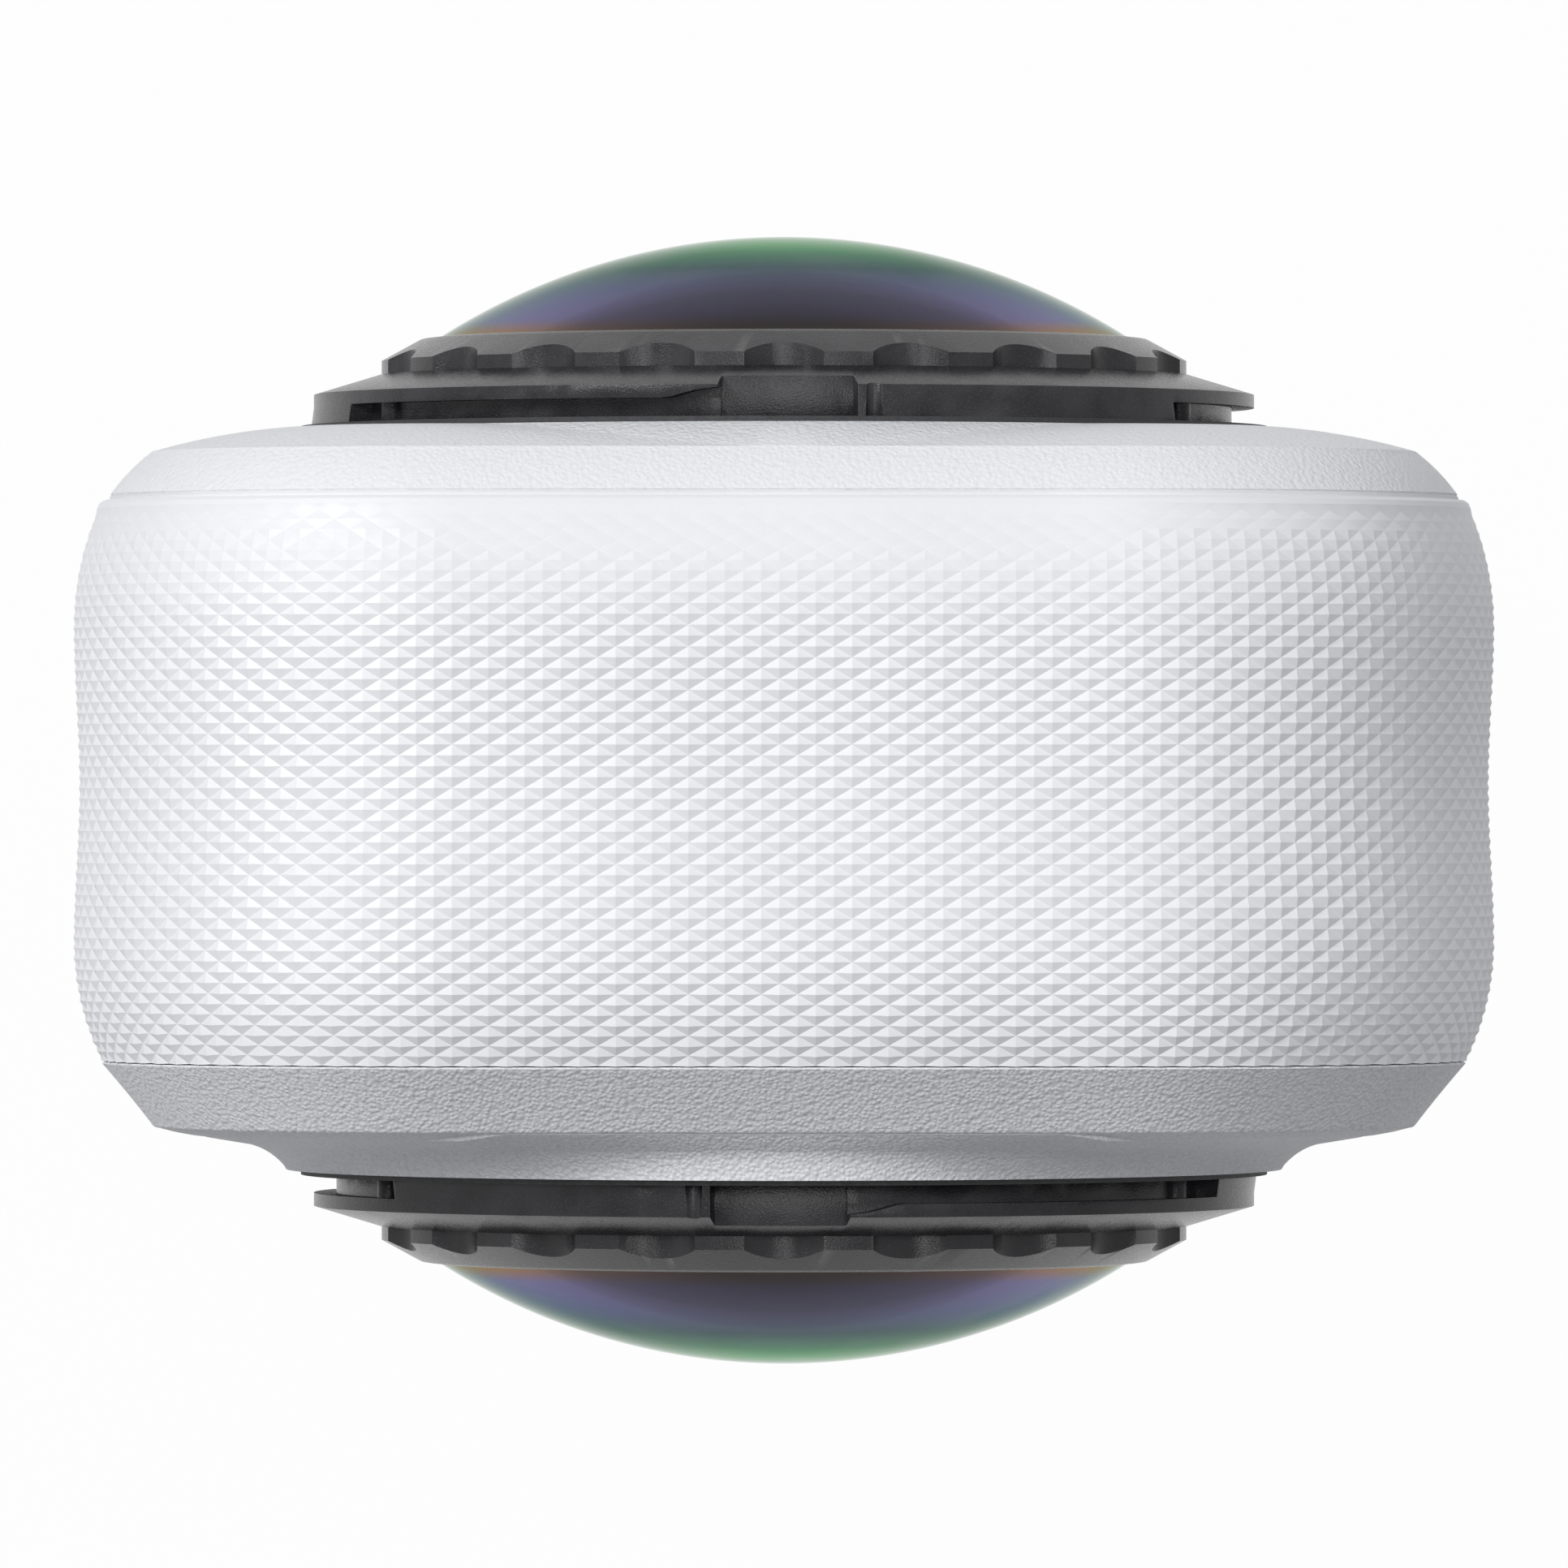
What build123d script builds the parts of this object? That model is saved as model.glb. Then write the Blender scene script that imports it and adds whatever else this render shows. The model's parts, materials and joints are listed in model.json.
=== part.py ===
from build123d import *
import math
import os

# A pocket camera that films all round with two lenses back to back, in millimetres.
# X is its width, Y its depth with the front (the side without a screen) at +Y, and Z its height.
# It stands on Z = 0. "Inset" is how far a line lies inside the body's widest outline.

# Body
width = 46.0
height = 113.8
lens_drop = 20.1            # lens axis below the top end
top_corner_r = 12.5
foot_corner_r = 8.0
foot_flat = 0.3             # depth of the flat ground on the bottom end
wall = 2.0                  # grip band wall
slip = 0.15                 # clearance of covers, doors and buttons in their openings
overrun = 5.0               # how far every cutting tool reaches past what it cuts

# Grip band, from its rear edge to its front edge
band_front_y = 9.52
band_rear_y = -8.42
front_bulge_y = 5.6
rear_bulge_y = -4.6
waist_dip = 0.18
front_bulge_r = 9.45
rear_bulge_r = 8.5
edge_y = 0.45               # soft front edge of the band
edge_in = 0.36

# Front cover
groove_width = 0.30
groove_depth = 1.42
front_lip_inset = 1.2
front_brow_inset = 1.78
front_brow_rise = 0.78
front_crease_inset = 2.54
front_crease_y = 11.28
front_slope_inset = 4.5
front_slope_y = 11.75
front_face_inset = 7.4
seat_y = 12.10              # plane that both lens collars stand on
cover_wall = 1.55
rim_wall = 1.05             # spigot of each cover inside the band
front_spigot_y = 7.2
rear_spigot_y = -6.2

# Rear cover, its screen and its lens boss
rear_brow_inset = 1.75
rear_brow_drop = 1.05
rear_crease_inset = 2.6
rear_crease_y = -10.54
rear_face_inset = 3.96
rear_face_y = -10.83
boss_foot_r = 19.8
boss_flare_r = 17.3
boss_flare_rise = 0.67
boss_top_r = 16.35
screen_inset = 4.8          # from the widest outline to the glass's side edges
screen_foot_z = 17.0
screen_drop = 20.7          # top edge of the glass below the lens axis
screen_corner_r = 3.0
screen_glass_t = 1.1
screen_ledge = 0.8
display_t = 1.4

# Lens collars, each a bayonet for the lens unit inside and for a lens guard outside
cover_hole_r = 14.0
collar_spigot_r = 13.8
collar_bore_r = 12.65
collar_ledge_r = 11.45
collar_foot_y = 10.9
collar_ledge_t = 0.8
gasket_r = 15.87
gasket_t = 0.17
flange_r = 15.44
flange_y = 12.87
flange_edge_t = 0.43
neck_draft = 0.08           # how far the collar widens from the flange down to its foot
collar_top_y = 13.95
collar_top_r = 13.3
slot_floor_r = 14.7
entry_floor_r = 14.5
guard_count = 3
entry_start = 81.2          # degrees from +X towards +Z
entry_end = 97.9
slot_end = 155.5
detent_r = 0.38             # rib that a guard's claw snaps over near each slot's end
detent_before = 6.0         # degrees before the slot's end
groove_r = 13.3             # groove for the lens unit's lugs
groove_low_y = 12.05
groove_high_y = 13.05

# Lens unit: ring, glass dome and seal
ring_r = 13.25
ring_side = 0.45
ring_cone_r = 12.03
ring_cone_y = 15.07
ring_lip_y = 15.17
ring_skirt_play = 0.07
ring_skirt_t = 0.98
ring_foot_y = 12.0
ledge_r = 10.6
ledge_low_y = 13.2
scallop_count = 20
scallop_depth = 0.55
scallop_r = 1.92
first_scallop = 90.0
lug_count = 3
lug_height_play = 0.1
lug_angle = 28.0
lug_start = 140.0
twist = 30.0                # turn that frees the lens unit
lug_play = 2.0              # degrees
dome_r = 11.4
dome_seat_y = 14.0
dome_apex_y = 18.5
dome_sphere_r = 21.0
dome_glass_t = 1.5
dome_hollow_r = 16.9
seal_t = 0.28
seal_wall = 0.8

# Inner optics
barrel_r = 11.2
barrel_top_y = 12.9
barrel_wall = 1.3
element_seat_y = 11.8
element_r = 6.6
element_edge_y = 13.87
element_apex_y = 15.85
throat_r = 5.9
throat_low_y = 6.5
stop_r = 4.4
stop_low_y = 4.4
sensor_bay_r = 9.2
retainer_r = 9.85
retainer_step_r = 8.4
retainer_lip_r = 7.4
retainer_step = 0.5
relay_edge_t = 1.2
relay_bulge = 0.9

# Sensors on the lens frame
frame_plate_t = 1.6
frame_drop = 18.2           # foot of the frame below the lens axis
sensor_board_gap = 0.9      # between the board and the heads of the upper screws
sensor_board_h = 24.0
sensor_board_t = 1.0
sensor_w = 13.0
sensor_h = 11.0
sensor_t = 0.8
frame_window_w = 9.0
frame_window_h = 6.0

# Battery, its bay and cover
battery_y = 0.55            # middle of the battery, the USB port and the tripod thread
cell_y = 10.6
cell_foot_z = 22.5
cell_drop = 9.0             # top of the cell below the lens frame
cell_play = 0.3
bay_wall = 0.8
bay_gap = 0.45              # between the bay and the back of the USB port
cover_y = 12.0
cover_below = 2.1           # how far the cover reaches past the cell, below and above
cover_above = 4.5
door_corner_r = 1.5
seal_lip = 0.9
contact_count = 4
contact_pitch = 2.5
contact_w = 1.2
contact_t = 0.9

# Battery latch on its cover
latch_travel = 1.4
latch_w = 5.0
latch_h = 7.0
latch_t = 0.7
latch_drop_z = 3.0          # top of the latch slide below the top of the cover
tongue_w = 3.0
tongue_t = 0.6
tongue_gap = 0.2

# Memory card
card_w = 11.0
card_l = 15.0
card_t = 1.0
socket_t = 2.4
card_play = 0.1
socket_wall = 0.7

# USB port, door and hinge
port_w = 9.0
port_h = 3.2
port_l = 7.3
port_rise = 0.5             # port axis above the middle of its door
port_wall = 0.35
tongue_l = 4.6
port_floor_inset = 2.6
port_floor_t = 1.1
usb_board_t = 0.8
usb_board_h = 12.0
door_y = 9.0
door_l = 19.95
door_middle_share = 0.581   # middle of the door in the room below the lower side button
hinge_r = 0.85
hinge_gap = 0.25
pin_r = 0.4
pin_play = 0.06
pin_grip = 1.0
plug_t = 0.7
plug_margin = 3.4
nail_r = 0.6

# Side buttons
power_drop = 9.5            # upper button below the lens frame
side_button_pitch = 14.0
side_button_l = 10.0
side_button_w = 4.4
side_button_proud = 0.1
button_flange = 0.5
button_flange_t = 0.65
button_stem = 0.5
press = 0.4                 # travel of every button
switch_w = 3.0
switch_t = 0.8
board_t = 0.8
side_board_w = 5.5
side_board_margin = 3.0

# Buttons under the screen
shutter_x = -6.6
shutter_r = 4.5
switcher_x = 6.8
switcher_r = 3.3
rear_button_z = 9.6
rear_button_proud = 0.25
rear_board_w = 22.0
rear_board_h = 8.0

# Main board and what is on it
main_board_inset = 5.5
main_board_y = 7.6
main_board_foot_z = 20.5
main_board_drop = 20.2      # top of the board below the lens axis
can_w = 24.0
can_h = 22.0
can_share = 0.388           # middle of the can along the board
can_t = 1.3
can_sheet = 0.3
processor_w = 14.0
processor_t = 0.8
spreader_w = 26.0
spreader_in_z = 5.5         # ends of the spreader inside the board's
spreader_t = 0.4
post_r = 1.7
post_inset = 7.4
post_in_z = 2.6
flex_w = 10.0
flex_t = 0.2
flex_gap = 0.4
flex_overlap = 4.0

# Screws through the lens frame into the front cover
screw_low_inset = 5.6
screw_low_drop = 14.2       # lower screws below the lens axis
screw_high_inset = 7.6
screw_high_rise = 11.5      # upper screws above the lens axis
boss_r = 1.9
screw_r = 0.8
screw_head_r = 1.5
screw_head_t = 0.9
rear_post_inset = 5.0
rear_post_drop = 5.7

# Bottom end
thread_r = 2.6              # bore that the tripod thread is cut in
socket_r = 4.75
socket_flange_r = 6.5
socket_flange_t = 1.3
socket_l = 7.5
thread_l = 6.6
speaker_x = 3.6
speaker_y = 8.0
speaker_z = 11.0
speaker_foot_z = 8.6
speaker_hole_r = 0.5
speaker_hole_count = 4
speaker_hole_pitch = 2.2
mic_x = 1.0
mic_y = 3.5
mic_z = 2.6
mic_gap = 0.6               # between the microphones and the lens frame above them
mic_hole_r = 0.45
antenna_in_x = 1.5          # ends of the antenna inside the flat of the top end
antenna_y = 5.0
antenna_t = 0.9
light_r = 0.8
light_flange_r = 1.5
light_flange_t = 0.5
light_drop = 19.1           # status light below the lens axis

# Worked out from the sizes above
half_w = width / 2
lens_z = height - lens_drop
screen_head_z = lens_z - screen_drop
frame_foot_z = lens_z - frame_drop
power_z = frame_foot_z - power_drop
quick_z = power_z - side_button_pitch
port_floor_x = half_w - port_floor_inset
port_back_x = port_floor_x - slip - port_l
door_middle_z = (quick_z - side_button_l / 2 - button_flange) * door_middle_share
door_foot_z = door_middle_z - door_l / 2
door_head_z = door_middle_z + door_l / 2
port_z = door_middle_z + port_rise
cell_inner_x = port_back_x - bay_gap - bay_wall - contact_t
cell_head_z = frame_foot_z - cell_drop
main_board_head_z = lens_z - main_board_drop
mic_at_z = frame_foot_z - mic_gap - mic_z / 2
light_z = lens_z - light_drop
middle_y = (front_bulge_y + rear_bulge_y) / 2
front_lip_y = band_front_y + groove_width
front_inner_y = seat_y - cover_wall
rear_inner_y = rear_face_y + cover_wall
spigot_inset = wall + slip
inner_inset = spigot_inset + rim_wall
collar_seat_y = seat_y + gasket_t
ledge_top_y = collar_foot_y + collar_ledge_t
door_inner_x = half_w - wall + slip * 2
board_y = frame_plate_t / 2 + sensor_board_t
hinge_x = half_w - hinge_r
hinge_z = door_foot_z + hinge_r
side_switch_x = half_w - wall - button_flange_t - button_stem / 2 - press
rear_switch_y = rear_inner_y + button_flange_t + button_stem / 2 + press
lens_axis = Axis((0, 0, lens_z), (0, -1, 0))
upright = Axis((0, 0, 0), (0, 0, 1))


def outline(inset, y):
    """The body's outline at depth y, as a closed wire."""
    x, top, foot = half_w - inset, height - inset, inset - foot_flat
    top_r, foot_r = top_corner_r - inset, foot_corner_r - inset

    def corner(cx, cz, r, start):
        turns = [math.radians(start + share * 90) for share in (0, 0.5, 1)]
        return ThreePointArc(*[(cx + r * math.cos(t), y, cz + r * math.sin(t)) for t in turns])

    sides = [
        corner(x - top_r, top - top_r, top_r, 0),
        Line((x - top_r, y, top), (top_r - x, y, top)),
        corner(top_r - x, top - top_r, top_r, 90),
        Line((-x, y, top - top_r), (-x, y, foot + foot_r)),
        corner(foot_r - x, foot + foot_r, foot_r, 180),
        Line((foot_r - x, y, foot), (x - foot_r, y, foot)),
        corner(x - foot_r, foot + foot_r, foot_r, 270),
        Line((x, y, foot + foot_r), (x, y, top - top_r)),
    ]
    return Wire([side.edge() for side in sides])


def slab(inset, y_from, y_to):
    """The outline's full area between two depths."""
    return extrude(Face(outline(inset, y_from)), y_to - y_from, dir=(0, 1, 0))


def band(outer_inset, inner_inset, y_from, y_to):
    """A hoop that follows the outline between two insets."""
    return slab(outer_inset, y_from, y_to) - slab(inner_inset, y_from, y_to)


def crowned(*sections):
    """A solid through outlines, each given as (inset, depth)."""
    return loft([Face(outline(inset, y)) for inset, y in sections])


def block(x, y, z):
    """A box between pairs of limits."""
    size = [limits[1] - limits[0] for limits in (x, y, z)]
    return Pos(x[0], y[0], z[0]) * Box(*size, align=(Align.MIN,) * 3)


def rounded(solid, axis, r):
    """The solid with its edges along one axis rounded."""
    return fillet(solid.edges().filter_by(axis), r)


def rod_y(x, z, r, y_from, y_to):
    """A round rod through the depth."""
    return Pos(x, (y_from + y_to) / 2, z) * Rot(90, 0, 0) * Cylinder(r, abs(y_to - y_from))


def rod_x(y, z, r, x_from, x_to):
    """A round rod across the width."""
    return Pos((x_from + x_to) / 2, y, z) * Rot(0, 90, 0) * Cylinder(r, abs(x_to - x_from))


def pill_x(y, z, length, breadth, x_from, x_to):
    """An upright rod with round ends, across the width."""
    shape = Plane.YZ.offset(x_from) * Pos(y, z) * SlotOverall(length, breadth, rotation=90)
    return extrude(shape, x_to - x_from)


def turned(points, start=0, turn=360):
    """A solid turned round the front lens axis from (radius, depth) points.

    A part turn starts that many degrees from +X towards +Z.
    """
    line = Polyline([(r, y, lens_z) for r, y in points], close=True)
    solid = revolve(make_face(line), axis=lens_axis, revolution_arc=turn)
    return solid.rotate(lens_axis, start) if turn < 360 else solid


def hoop(inner_r, outer_r, y_from, y_to, start=0, turn=360):
    """A flat ring or part of one round the front lens axis."""
    return turned([(inner_r, y_from), (outer_r, y_from), (outer_r, y_to), (inner_r, y_to)], start, turn)


def to_rear(solid):
    """The rear copy of a front lens piece."""
    return solid.rotate(upright, 180)


def mirrored_x(solid):
    return mirror(solid, Plane.YZ)


parts = {}

# Grip band: one profile swept round the outline, with two soft bulges and a waist between them.
def at_side(inset, y):
    return (half_w - inset, y, height / 2)


def bulge_inset(distance, r):
    return r - math.sqrt(r * r - distance * distance)


front_turn_y = band_front_y - edge_y
front_turn_in = bulge_inset(front_turn_y - front_bulge_y, front_bulge_r)
rear_edge_in = bulge_inset(rear_bulge_y - band_rear_y, rear_bulge_r)
soft_share = 0.35           # how far the soft edge has turned in at three quarters of its height
mid_front_y = (front_bulge_y + front_turn_y) / 2
mid_rear_y = (rear_bulge_y + band_rear_y) / 2
profile = [
    ThreePointArc(at_side(0, front_bulge_y),
                  at_side(bulge_inset(mid_front_y - front_bulge_y, front_bulge_r), mid_front_y),
                  at_side(front_turn_in, front_turn_y)),
    ThreePointArc(at_side(front_turn_in, front_turn_y),
                  at_side(front_turn_in + edge_in * soft_share, band_front_y - edge_y / 4),
                  at_side(front_turn_in + edge_in, band_front_y)),
    Line(at_side(front_turn_in + edge_in, band_front_y), at_side(wall, band_front_y)),
    Line(at_side(wall, band_front_y), at_side(wall, band_rear_y)),
    Line(at_side(wall, band_rear_y), at_side(rear_edge_in, band_rear_y)),
    ThreePointArc(at_side(rear_edge_in, band_rear_y),
                  at_side(bulge_inset(rear_bulge_y - mid_rear_y, rear_bulge_r), mid_rear_y),
                  at_side(0, rear_bulge_y)),
    Spline(at_side(0, rear_bulge_y), at_side(waist_dip, middle_y), at_side(0, front_bulge_y),
           tangents=[(0, 1, 0), (0, 1, 0)]),
]
band_blank = sweep(sections=make_face([edge.edge() for edge in profile]), path=outline(0, 0))
grip = band_blank - block((-width, width), (-width, width), (-overrun, 0))

# USB door: a leaf of the band that turns on a pin at its lower end, over a recess with the port in its floor.
def door_leaf(y, z, gap):
    """The door's outline as a tool through the wall, larger all round by gap."""
    leaf = block((half_w - wall - overrun, half_w + overrun),
                 (battery_y - y / 2 - gap, battery_y + y / 2 + gap), (z[0] - gap, z[1] + gap))
    return rounded(leaf, Axis.X, door_corner_r + gap)


door_z = (door_foot_z, door_head_z)
door_ends = (battery_y - door_y / 2, battery_y + door_y / 2)
leaf = door_leaf(door_y, door_z, 0) & block((door_inner_x, width), (-width, width), (hinge_z, height))
knuckle = rod_y(hinge_x, hinge_z, hinge_r, *door_ends)
nail_notch = rod_y(half_w, door_head_z, nail_r, battery_y - door_y / 4, battery_y + door_y / 4)
usb_door = (band_blank & leaf) + (knuckle & door_leaf(door_y, (-width, door_head_z), 0))
usb_door -= rod_y(hinge_x, hinge_z, pin_r + pin_play, -width, width)
parts["usb_door"] = usb_door - nail_notch
pin_ends = (door_ends[0] - pin_grip, door_ends[1] + pin_grip)
hinge_pin = rod_y(hinge_x, hinge_z, pin_r, *pin_ends)
parts["usb_door_pin"] = hinge_pin
door_hole = door_leaf(door_y, door_z, slip) + block(
    (half_w - wall - overrun, half_w + overrun), (door_ends[0] - slip, door_ends[1] + slip),
    (door_foot_z - hinge_gap, hinge_z))
grip -= door_hole & block((port_floor_x, width), (-width, width), (0, height))
grip -= hinge_pin
port_mouth = pill_x(battery_y, port_z, port_w + slip, port_h + slip, 0, width)
floor_y = (door_ends[0] - slip * 2 - port_floor_t, door_ends[1] + slip * 2 + port_floor_t)
floor_z = (door_foot_z - hinge_gap - port_floor_t, door_head_z + slip + port_floor_t)
recess = block((port_floor_x - port_floor_t, half_w - wall + slip), floor_y, floor_z)
recess -= door_hole & block((port_floor_x, width), (-width, width), (0, height))
grip += recess - port_mouth
plug_back_x = door_inner_x - plug_t
plug = block((plug_back_x, door_inner_x), (door_ends[0] + slip * 4, door_ends[1] - slip * 4),
             (door_foot_z + plug_margin, door_head_z - plug_margin))
plug = rounded(plug, Axis.X, door_corner_r)
parts["usb_door_seal"] = plug

# USB port: a metal shell with its contact tongue, on a small board.
shell = pill_x(battery_y, port_z, port_w, port_h, port_back_x, port_floor_x - slip)
bore = pill_x(battery_y, port_z, port_w - port_wall * 2, port_h - port_wall * 2,
              port_back_x + port_wall, width)
tongue = block((port_back_x, port_back_x + tongue_l), (battery_y - port_wall, battery_y + port_wall),
               (port_z - port_w / 3, port_z + port_w / 3))
parts["usb_port"] = shell - bore + tongue
usb_board_y = battery_y + port_h / 2
parts["usb_board"] = block((port_back_x, port_floor_x - port_floor_t - slip),
                           (usb_board_y, usb_board_y + usb_board_t),
                           (port_z - usb_board_h / 2, port_z + usb_board_h / 2))

# Battery: cell, cover and seal leave together through the band's other side.
cover_z = (cell_foot_z - cover_below, cell_head_z + cover_above)
cover_leaf = mirrored_x(door_leaf(cover_y, cover_z, 0))
cover = band_blank & cover_leaf & block((-width, -door_inner_x), (-width, width), (0, height))
cell_x = (wall + cell_play - half_w, cell_inner_x)
cell_z = (cell_foot_z, cell_head_z)
cell_ends = (battery_y - cell_y / 2, battery_y + cell_y / 2)
cell = block(cell_x, cell_ends, cell_z)
cell = rounded(cell, Axis.X, door_corner_r)
neck = block((-door_inner_x, cell_x[0]), (cell_ends[0] + seal_lip, cell_ends[1] - seal_lip),
             (cell_z[0] + seal_lip, cell_z[1] - seal_lip))
grip -= mirrored_x(door_leaf(cover_y, cover_z, slip))

# Battery latch: a slide in the cover whose tongue enters a pocket in the band.
latch_z = (cover_z[1] - latch_drop_z - latch_h, cover_z[1] - latch_drop_z)
latch_outer_x = half_w - waist_dip - slip
latch_y = (battery_y - latch_w / 2, battery_y + latch_w / 2)
tongue_y = (battery_y - tongue_w / 2, battery_y + tongue_w / 2)
tongue_x = (-latch_outer_x + slip, -latch_outer_x + slip + tongue_t)
slide = block((-latch_outer_x, -latch_outer_x + latch_t), latch_y, latch_z)
for step in range(3):
    rib_z = latch_z[0] + latch_h * (step + 1) / 4
    slide -= rod_y(-latch_outer_x, rib_z, slip, *latch_y)
slide += block(tongue_x, tongue_y, (latch_z[1], cover_z[1] - tongue_gap))
parts["battery_latch"] = slide
track = block((-width, -latch_outer_x + latch_t + slip / 2),
              (latch_y[0] - slip, latch_y[1] + slip),
              (latch_z[0] - slip, latch_z[1] + latch_travel + slip))
channel = block((tongue_x[0] - slip / 2, tongue_x[1] + slip / 2),
                (tongue_y[0] - slip, tongue_y[1] + slip),
                (latch_z[0], cover_z[1] + latch_travel + slip))
parts["battery_cover"] = cover - track - channel
grip -= channel
parts["battery"] = cell + neck
seal = block((-door_inner_x, -door_inner_x + seal_lip - slip / 3), cell_ends, cell_z)
seal = rounded(seal, Axis.X, door_corner_r) - neck
parts["battery_seal"] = seal & block((-door_inner_x, cell_x[0]), (-width, width), (0, height))

# Battery bay: a tray open to the side, with contacts at its far end.
bay_ends = (cell_ends[0] - cell_play, cell_ends[1] + cell_play)
bay_z = (cell_z[0] - cell_play, cell_z[1] + cell_play)
bay_room = block((-width, cell_inner_x + contact_t), bay_ends, bay_z)
bay_box = block((wall - half_w, cell_inner_x + contact_t + bay_wall),
                (bay_ends[0] - bay_wall, bay_ends[1] + bay_wall),
                (bay_z[0] - bay_wall, bay_z[1] + bay_wall))
parts["battery_bay"] = bay_box - bay_room
contact_z = (cell_z[0] + cell_z[1]) / 2
contact_x = (cell_inner_x + slip, cell_inner_x + contact_t)
parts["battery_contacts"] = Compound([
    rounded(block(contact_x, (battery_y - contact_w / 2, battery_y + contact_w / 2),
                  (contact_z + contact_pitch * (place - (contact_count - 1) / 2) - contact_w / 2,
                   contact_z + contact_pitch * (place - (contact_count - 1) / 2) + contact_w / 2)),
            Axis.X, contact_w / 4)
    for place in range(contact_count)])

# Memory card: flat over the bay, in a socket that opens to the same side.
socket_foot_z = bay_z[1] + bay_wall
card_z = (socket_foot_z + socket_wall, socket_foot_z + socket_wall + card_t)
card_ends = (battery_y - card_w / 2, battery_y + card_w / 2)
card_x = (wall - half_w + slip * 2, wall - half_w + slip * 2 + card_l)
card = rounded(block(card_x, card_ends, card_z), Axis.Z, card_t)
parts["memory_card"] = card
socket = block((wall - half_w, card_x[1] + socket_wall),
               (card_ends[0] - socket_wall, card_ends[1] + socket_wall),
               (socket_foot_z, socket_foot_z + socket_t))
parts["card_socket"] = socket - block((-width, card_x[1] + card_play),
                                      (card_ends[0] - card_play, card_ends[1] + card_play),
                                      (card_z[0], card_z[1] + card_play))

# Side buttons: pills in the band, held by a flange, each over a switch on one board.
button_inner_x = half_w - wall
button_outer_x = half_w - waist_dip + side_button_proud
side_board_z = (quick_z - side_button_l / 2 - side_board_margin,
                power_z + side_button_l / 2 + side_board_margin)
side_switches = []
for name, z in (("power_button", power_z), ("quick_button", quick_z)):
    cap = pill_x(middle_y, z, side_button_l - slip * 2, side_button_w - slip * 2, button_inner_x, button_outer_x)
    cap = fillet(cap.faces().sort_by(Axis.X)[-1].edges(), slip * 2)
    cap += pill_x(middle_y, z, side_button_l + button_flange * 2, side_button_w + button_flange * 2,
                  button_inner_x - button_flange_t, button_inner_x)
    cap += rod_x(middle_y, z, button_stem, button_inner_x - button_flange_t - button_stem / 2,
                 button_inner_x - button_flange_t)
    parts[name] = cap
    grip -= pill_x(middle_y, z, side_button_l, side_button_w, 0, width) & block(
        (button_inner_x - slip, width), (-width, width), (0, height))
    side_switches.append(block((side_switch_x - switch_t, side_switch_x - slip / 3),
                               (middle_y - switch_w / 2, middle_y + switch_w / 2),
                               (z - switch_w / 2, z + switch_w / 2)))
side_board = block((side_switch_x - switch_t - board_t, side_switch_x - switch_t),
                   (middle_y - side_board_w / 2, middle_y + side_board_w / 2), side_board_z)
for switch in side_switches:
    side_board += switch
parts["side_switch_board"] = side_board

# Holes in the band for the tripod socket, speaker and microphones.
grip -= Pos(0, battery_y, 0) * Cylinder(socket_r, overrun * 2)
speaker_y_mid = middle_y
for step in range(speaker_hole_count):
    hole_z = speaker_foot_z + speaker_z / 2 + speaker_hole_pitch * (step - (speaker_hole_count - 1) / 2)
    grip -= rod_x(speaker_y_mid, hole_z, speaker_hole_r, -width, 0)
for side in (-1, 1):
    grip -= rod_x(middle_y, mic_at_z, mic_hole_r, 0, side * width)

# The band's bottom end is a node of its own, from where the corners begin, and meets the rest face to face.
foot_room = block((-width, width), (-width, width), (-overrun, foot_corner_r - foot_flat))
parts["grip_foot"] = grip & foot_room
parts["grip_frame"] = grip - foot_room

# Front cover: a crowned shell with a spigot inside the band, screw bosses and posts for the main board.
brow = (front_brow_inset, front_lip_y + front_brow_rise)
crease = (front_crease_inset, front_crease_y)
front = crowned((front_lip_inset, front_lip_y), brow, crease)
front += crowned(crease, (front_slope_inset, front_slope_y), (front_face_inset, seat_y))
seat_cone = turned([(cover_hole_r, seat_y), (gasket_r + slip / 5, seat_y),
                    (lens_drop - front_crease_inset, front_crease_y), (cover_hole_r, front_crease_y)])
front += seat_cone & slab(front_crease_inset, front_crease_y, seat_y)
front -= slab(inner_inset, front_lip_y, front_inner_y)
front += band(spigot_inset, inner_inset, front_spigot_y, front_lip_y)
screw_places = [(side * (half_w - inset), lens_z + rise) for side in (-1, 1)
                for inset, rise in ((screw_low_inset, -screw_low_drop), (screw_high_inset, screw_high_rise))]
for x, z in screw_places:
    front += rod_y(x, z, boss_r, frame_plate_t / 2, front_inner_y)
    front -= rod_y(x, z, screw_r, frame_plate_t / 2, front_inner_y - boss_r)
board_posts = [(side * (half_w - post_inset), z) for side in (-1, 1)
               for z in (main_board_foot_z + post_in_z, main_board_head_z - post_in_z)]
for x, z in board_posts:
    front += rod_y(x, z, post_r, main_board_y + board_t, front_inner_y)
front -= rod_y(0, lens_z, cover_hole_r, 0, width)
front -= rod_y(0, light_z, light_r, 0, width)
parts["front_cover"] = front
parts["front_gasket"] = band(groove_depth, wall + slip / 2, band_front_y, front_lip_y)
parts["status_light_guide"] = rod_y(0, light_z, light_r, front_inner_y, seat_y - slip / 3) + rod_y(
    0, light_z, light_flange_r, front_inner_y - light_flange_t, front_inner_y)

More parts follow.
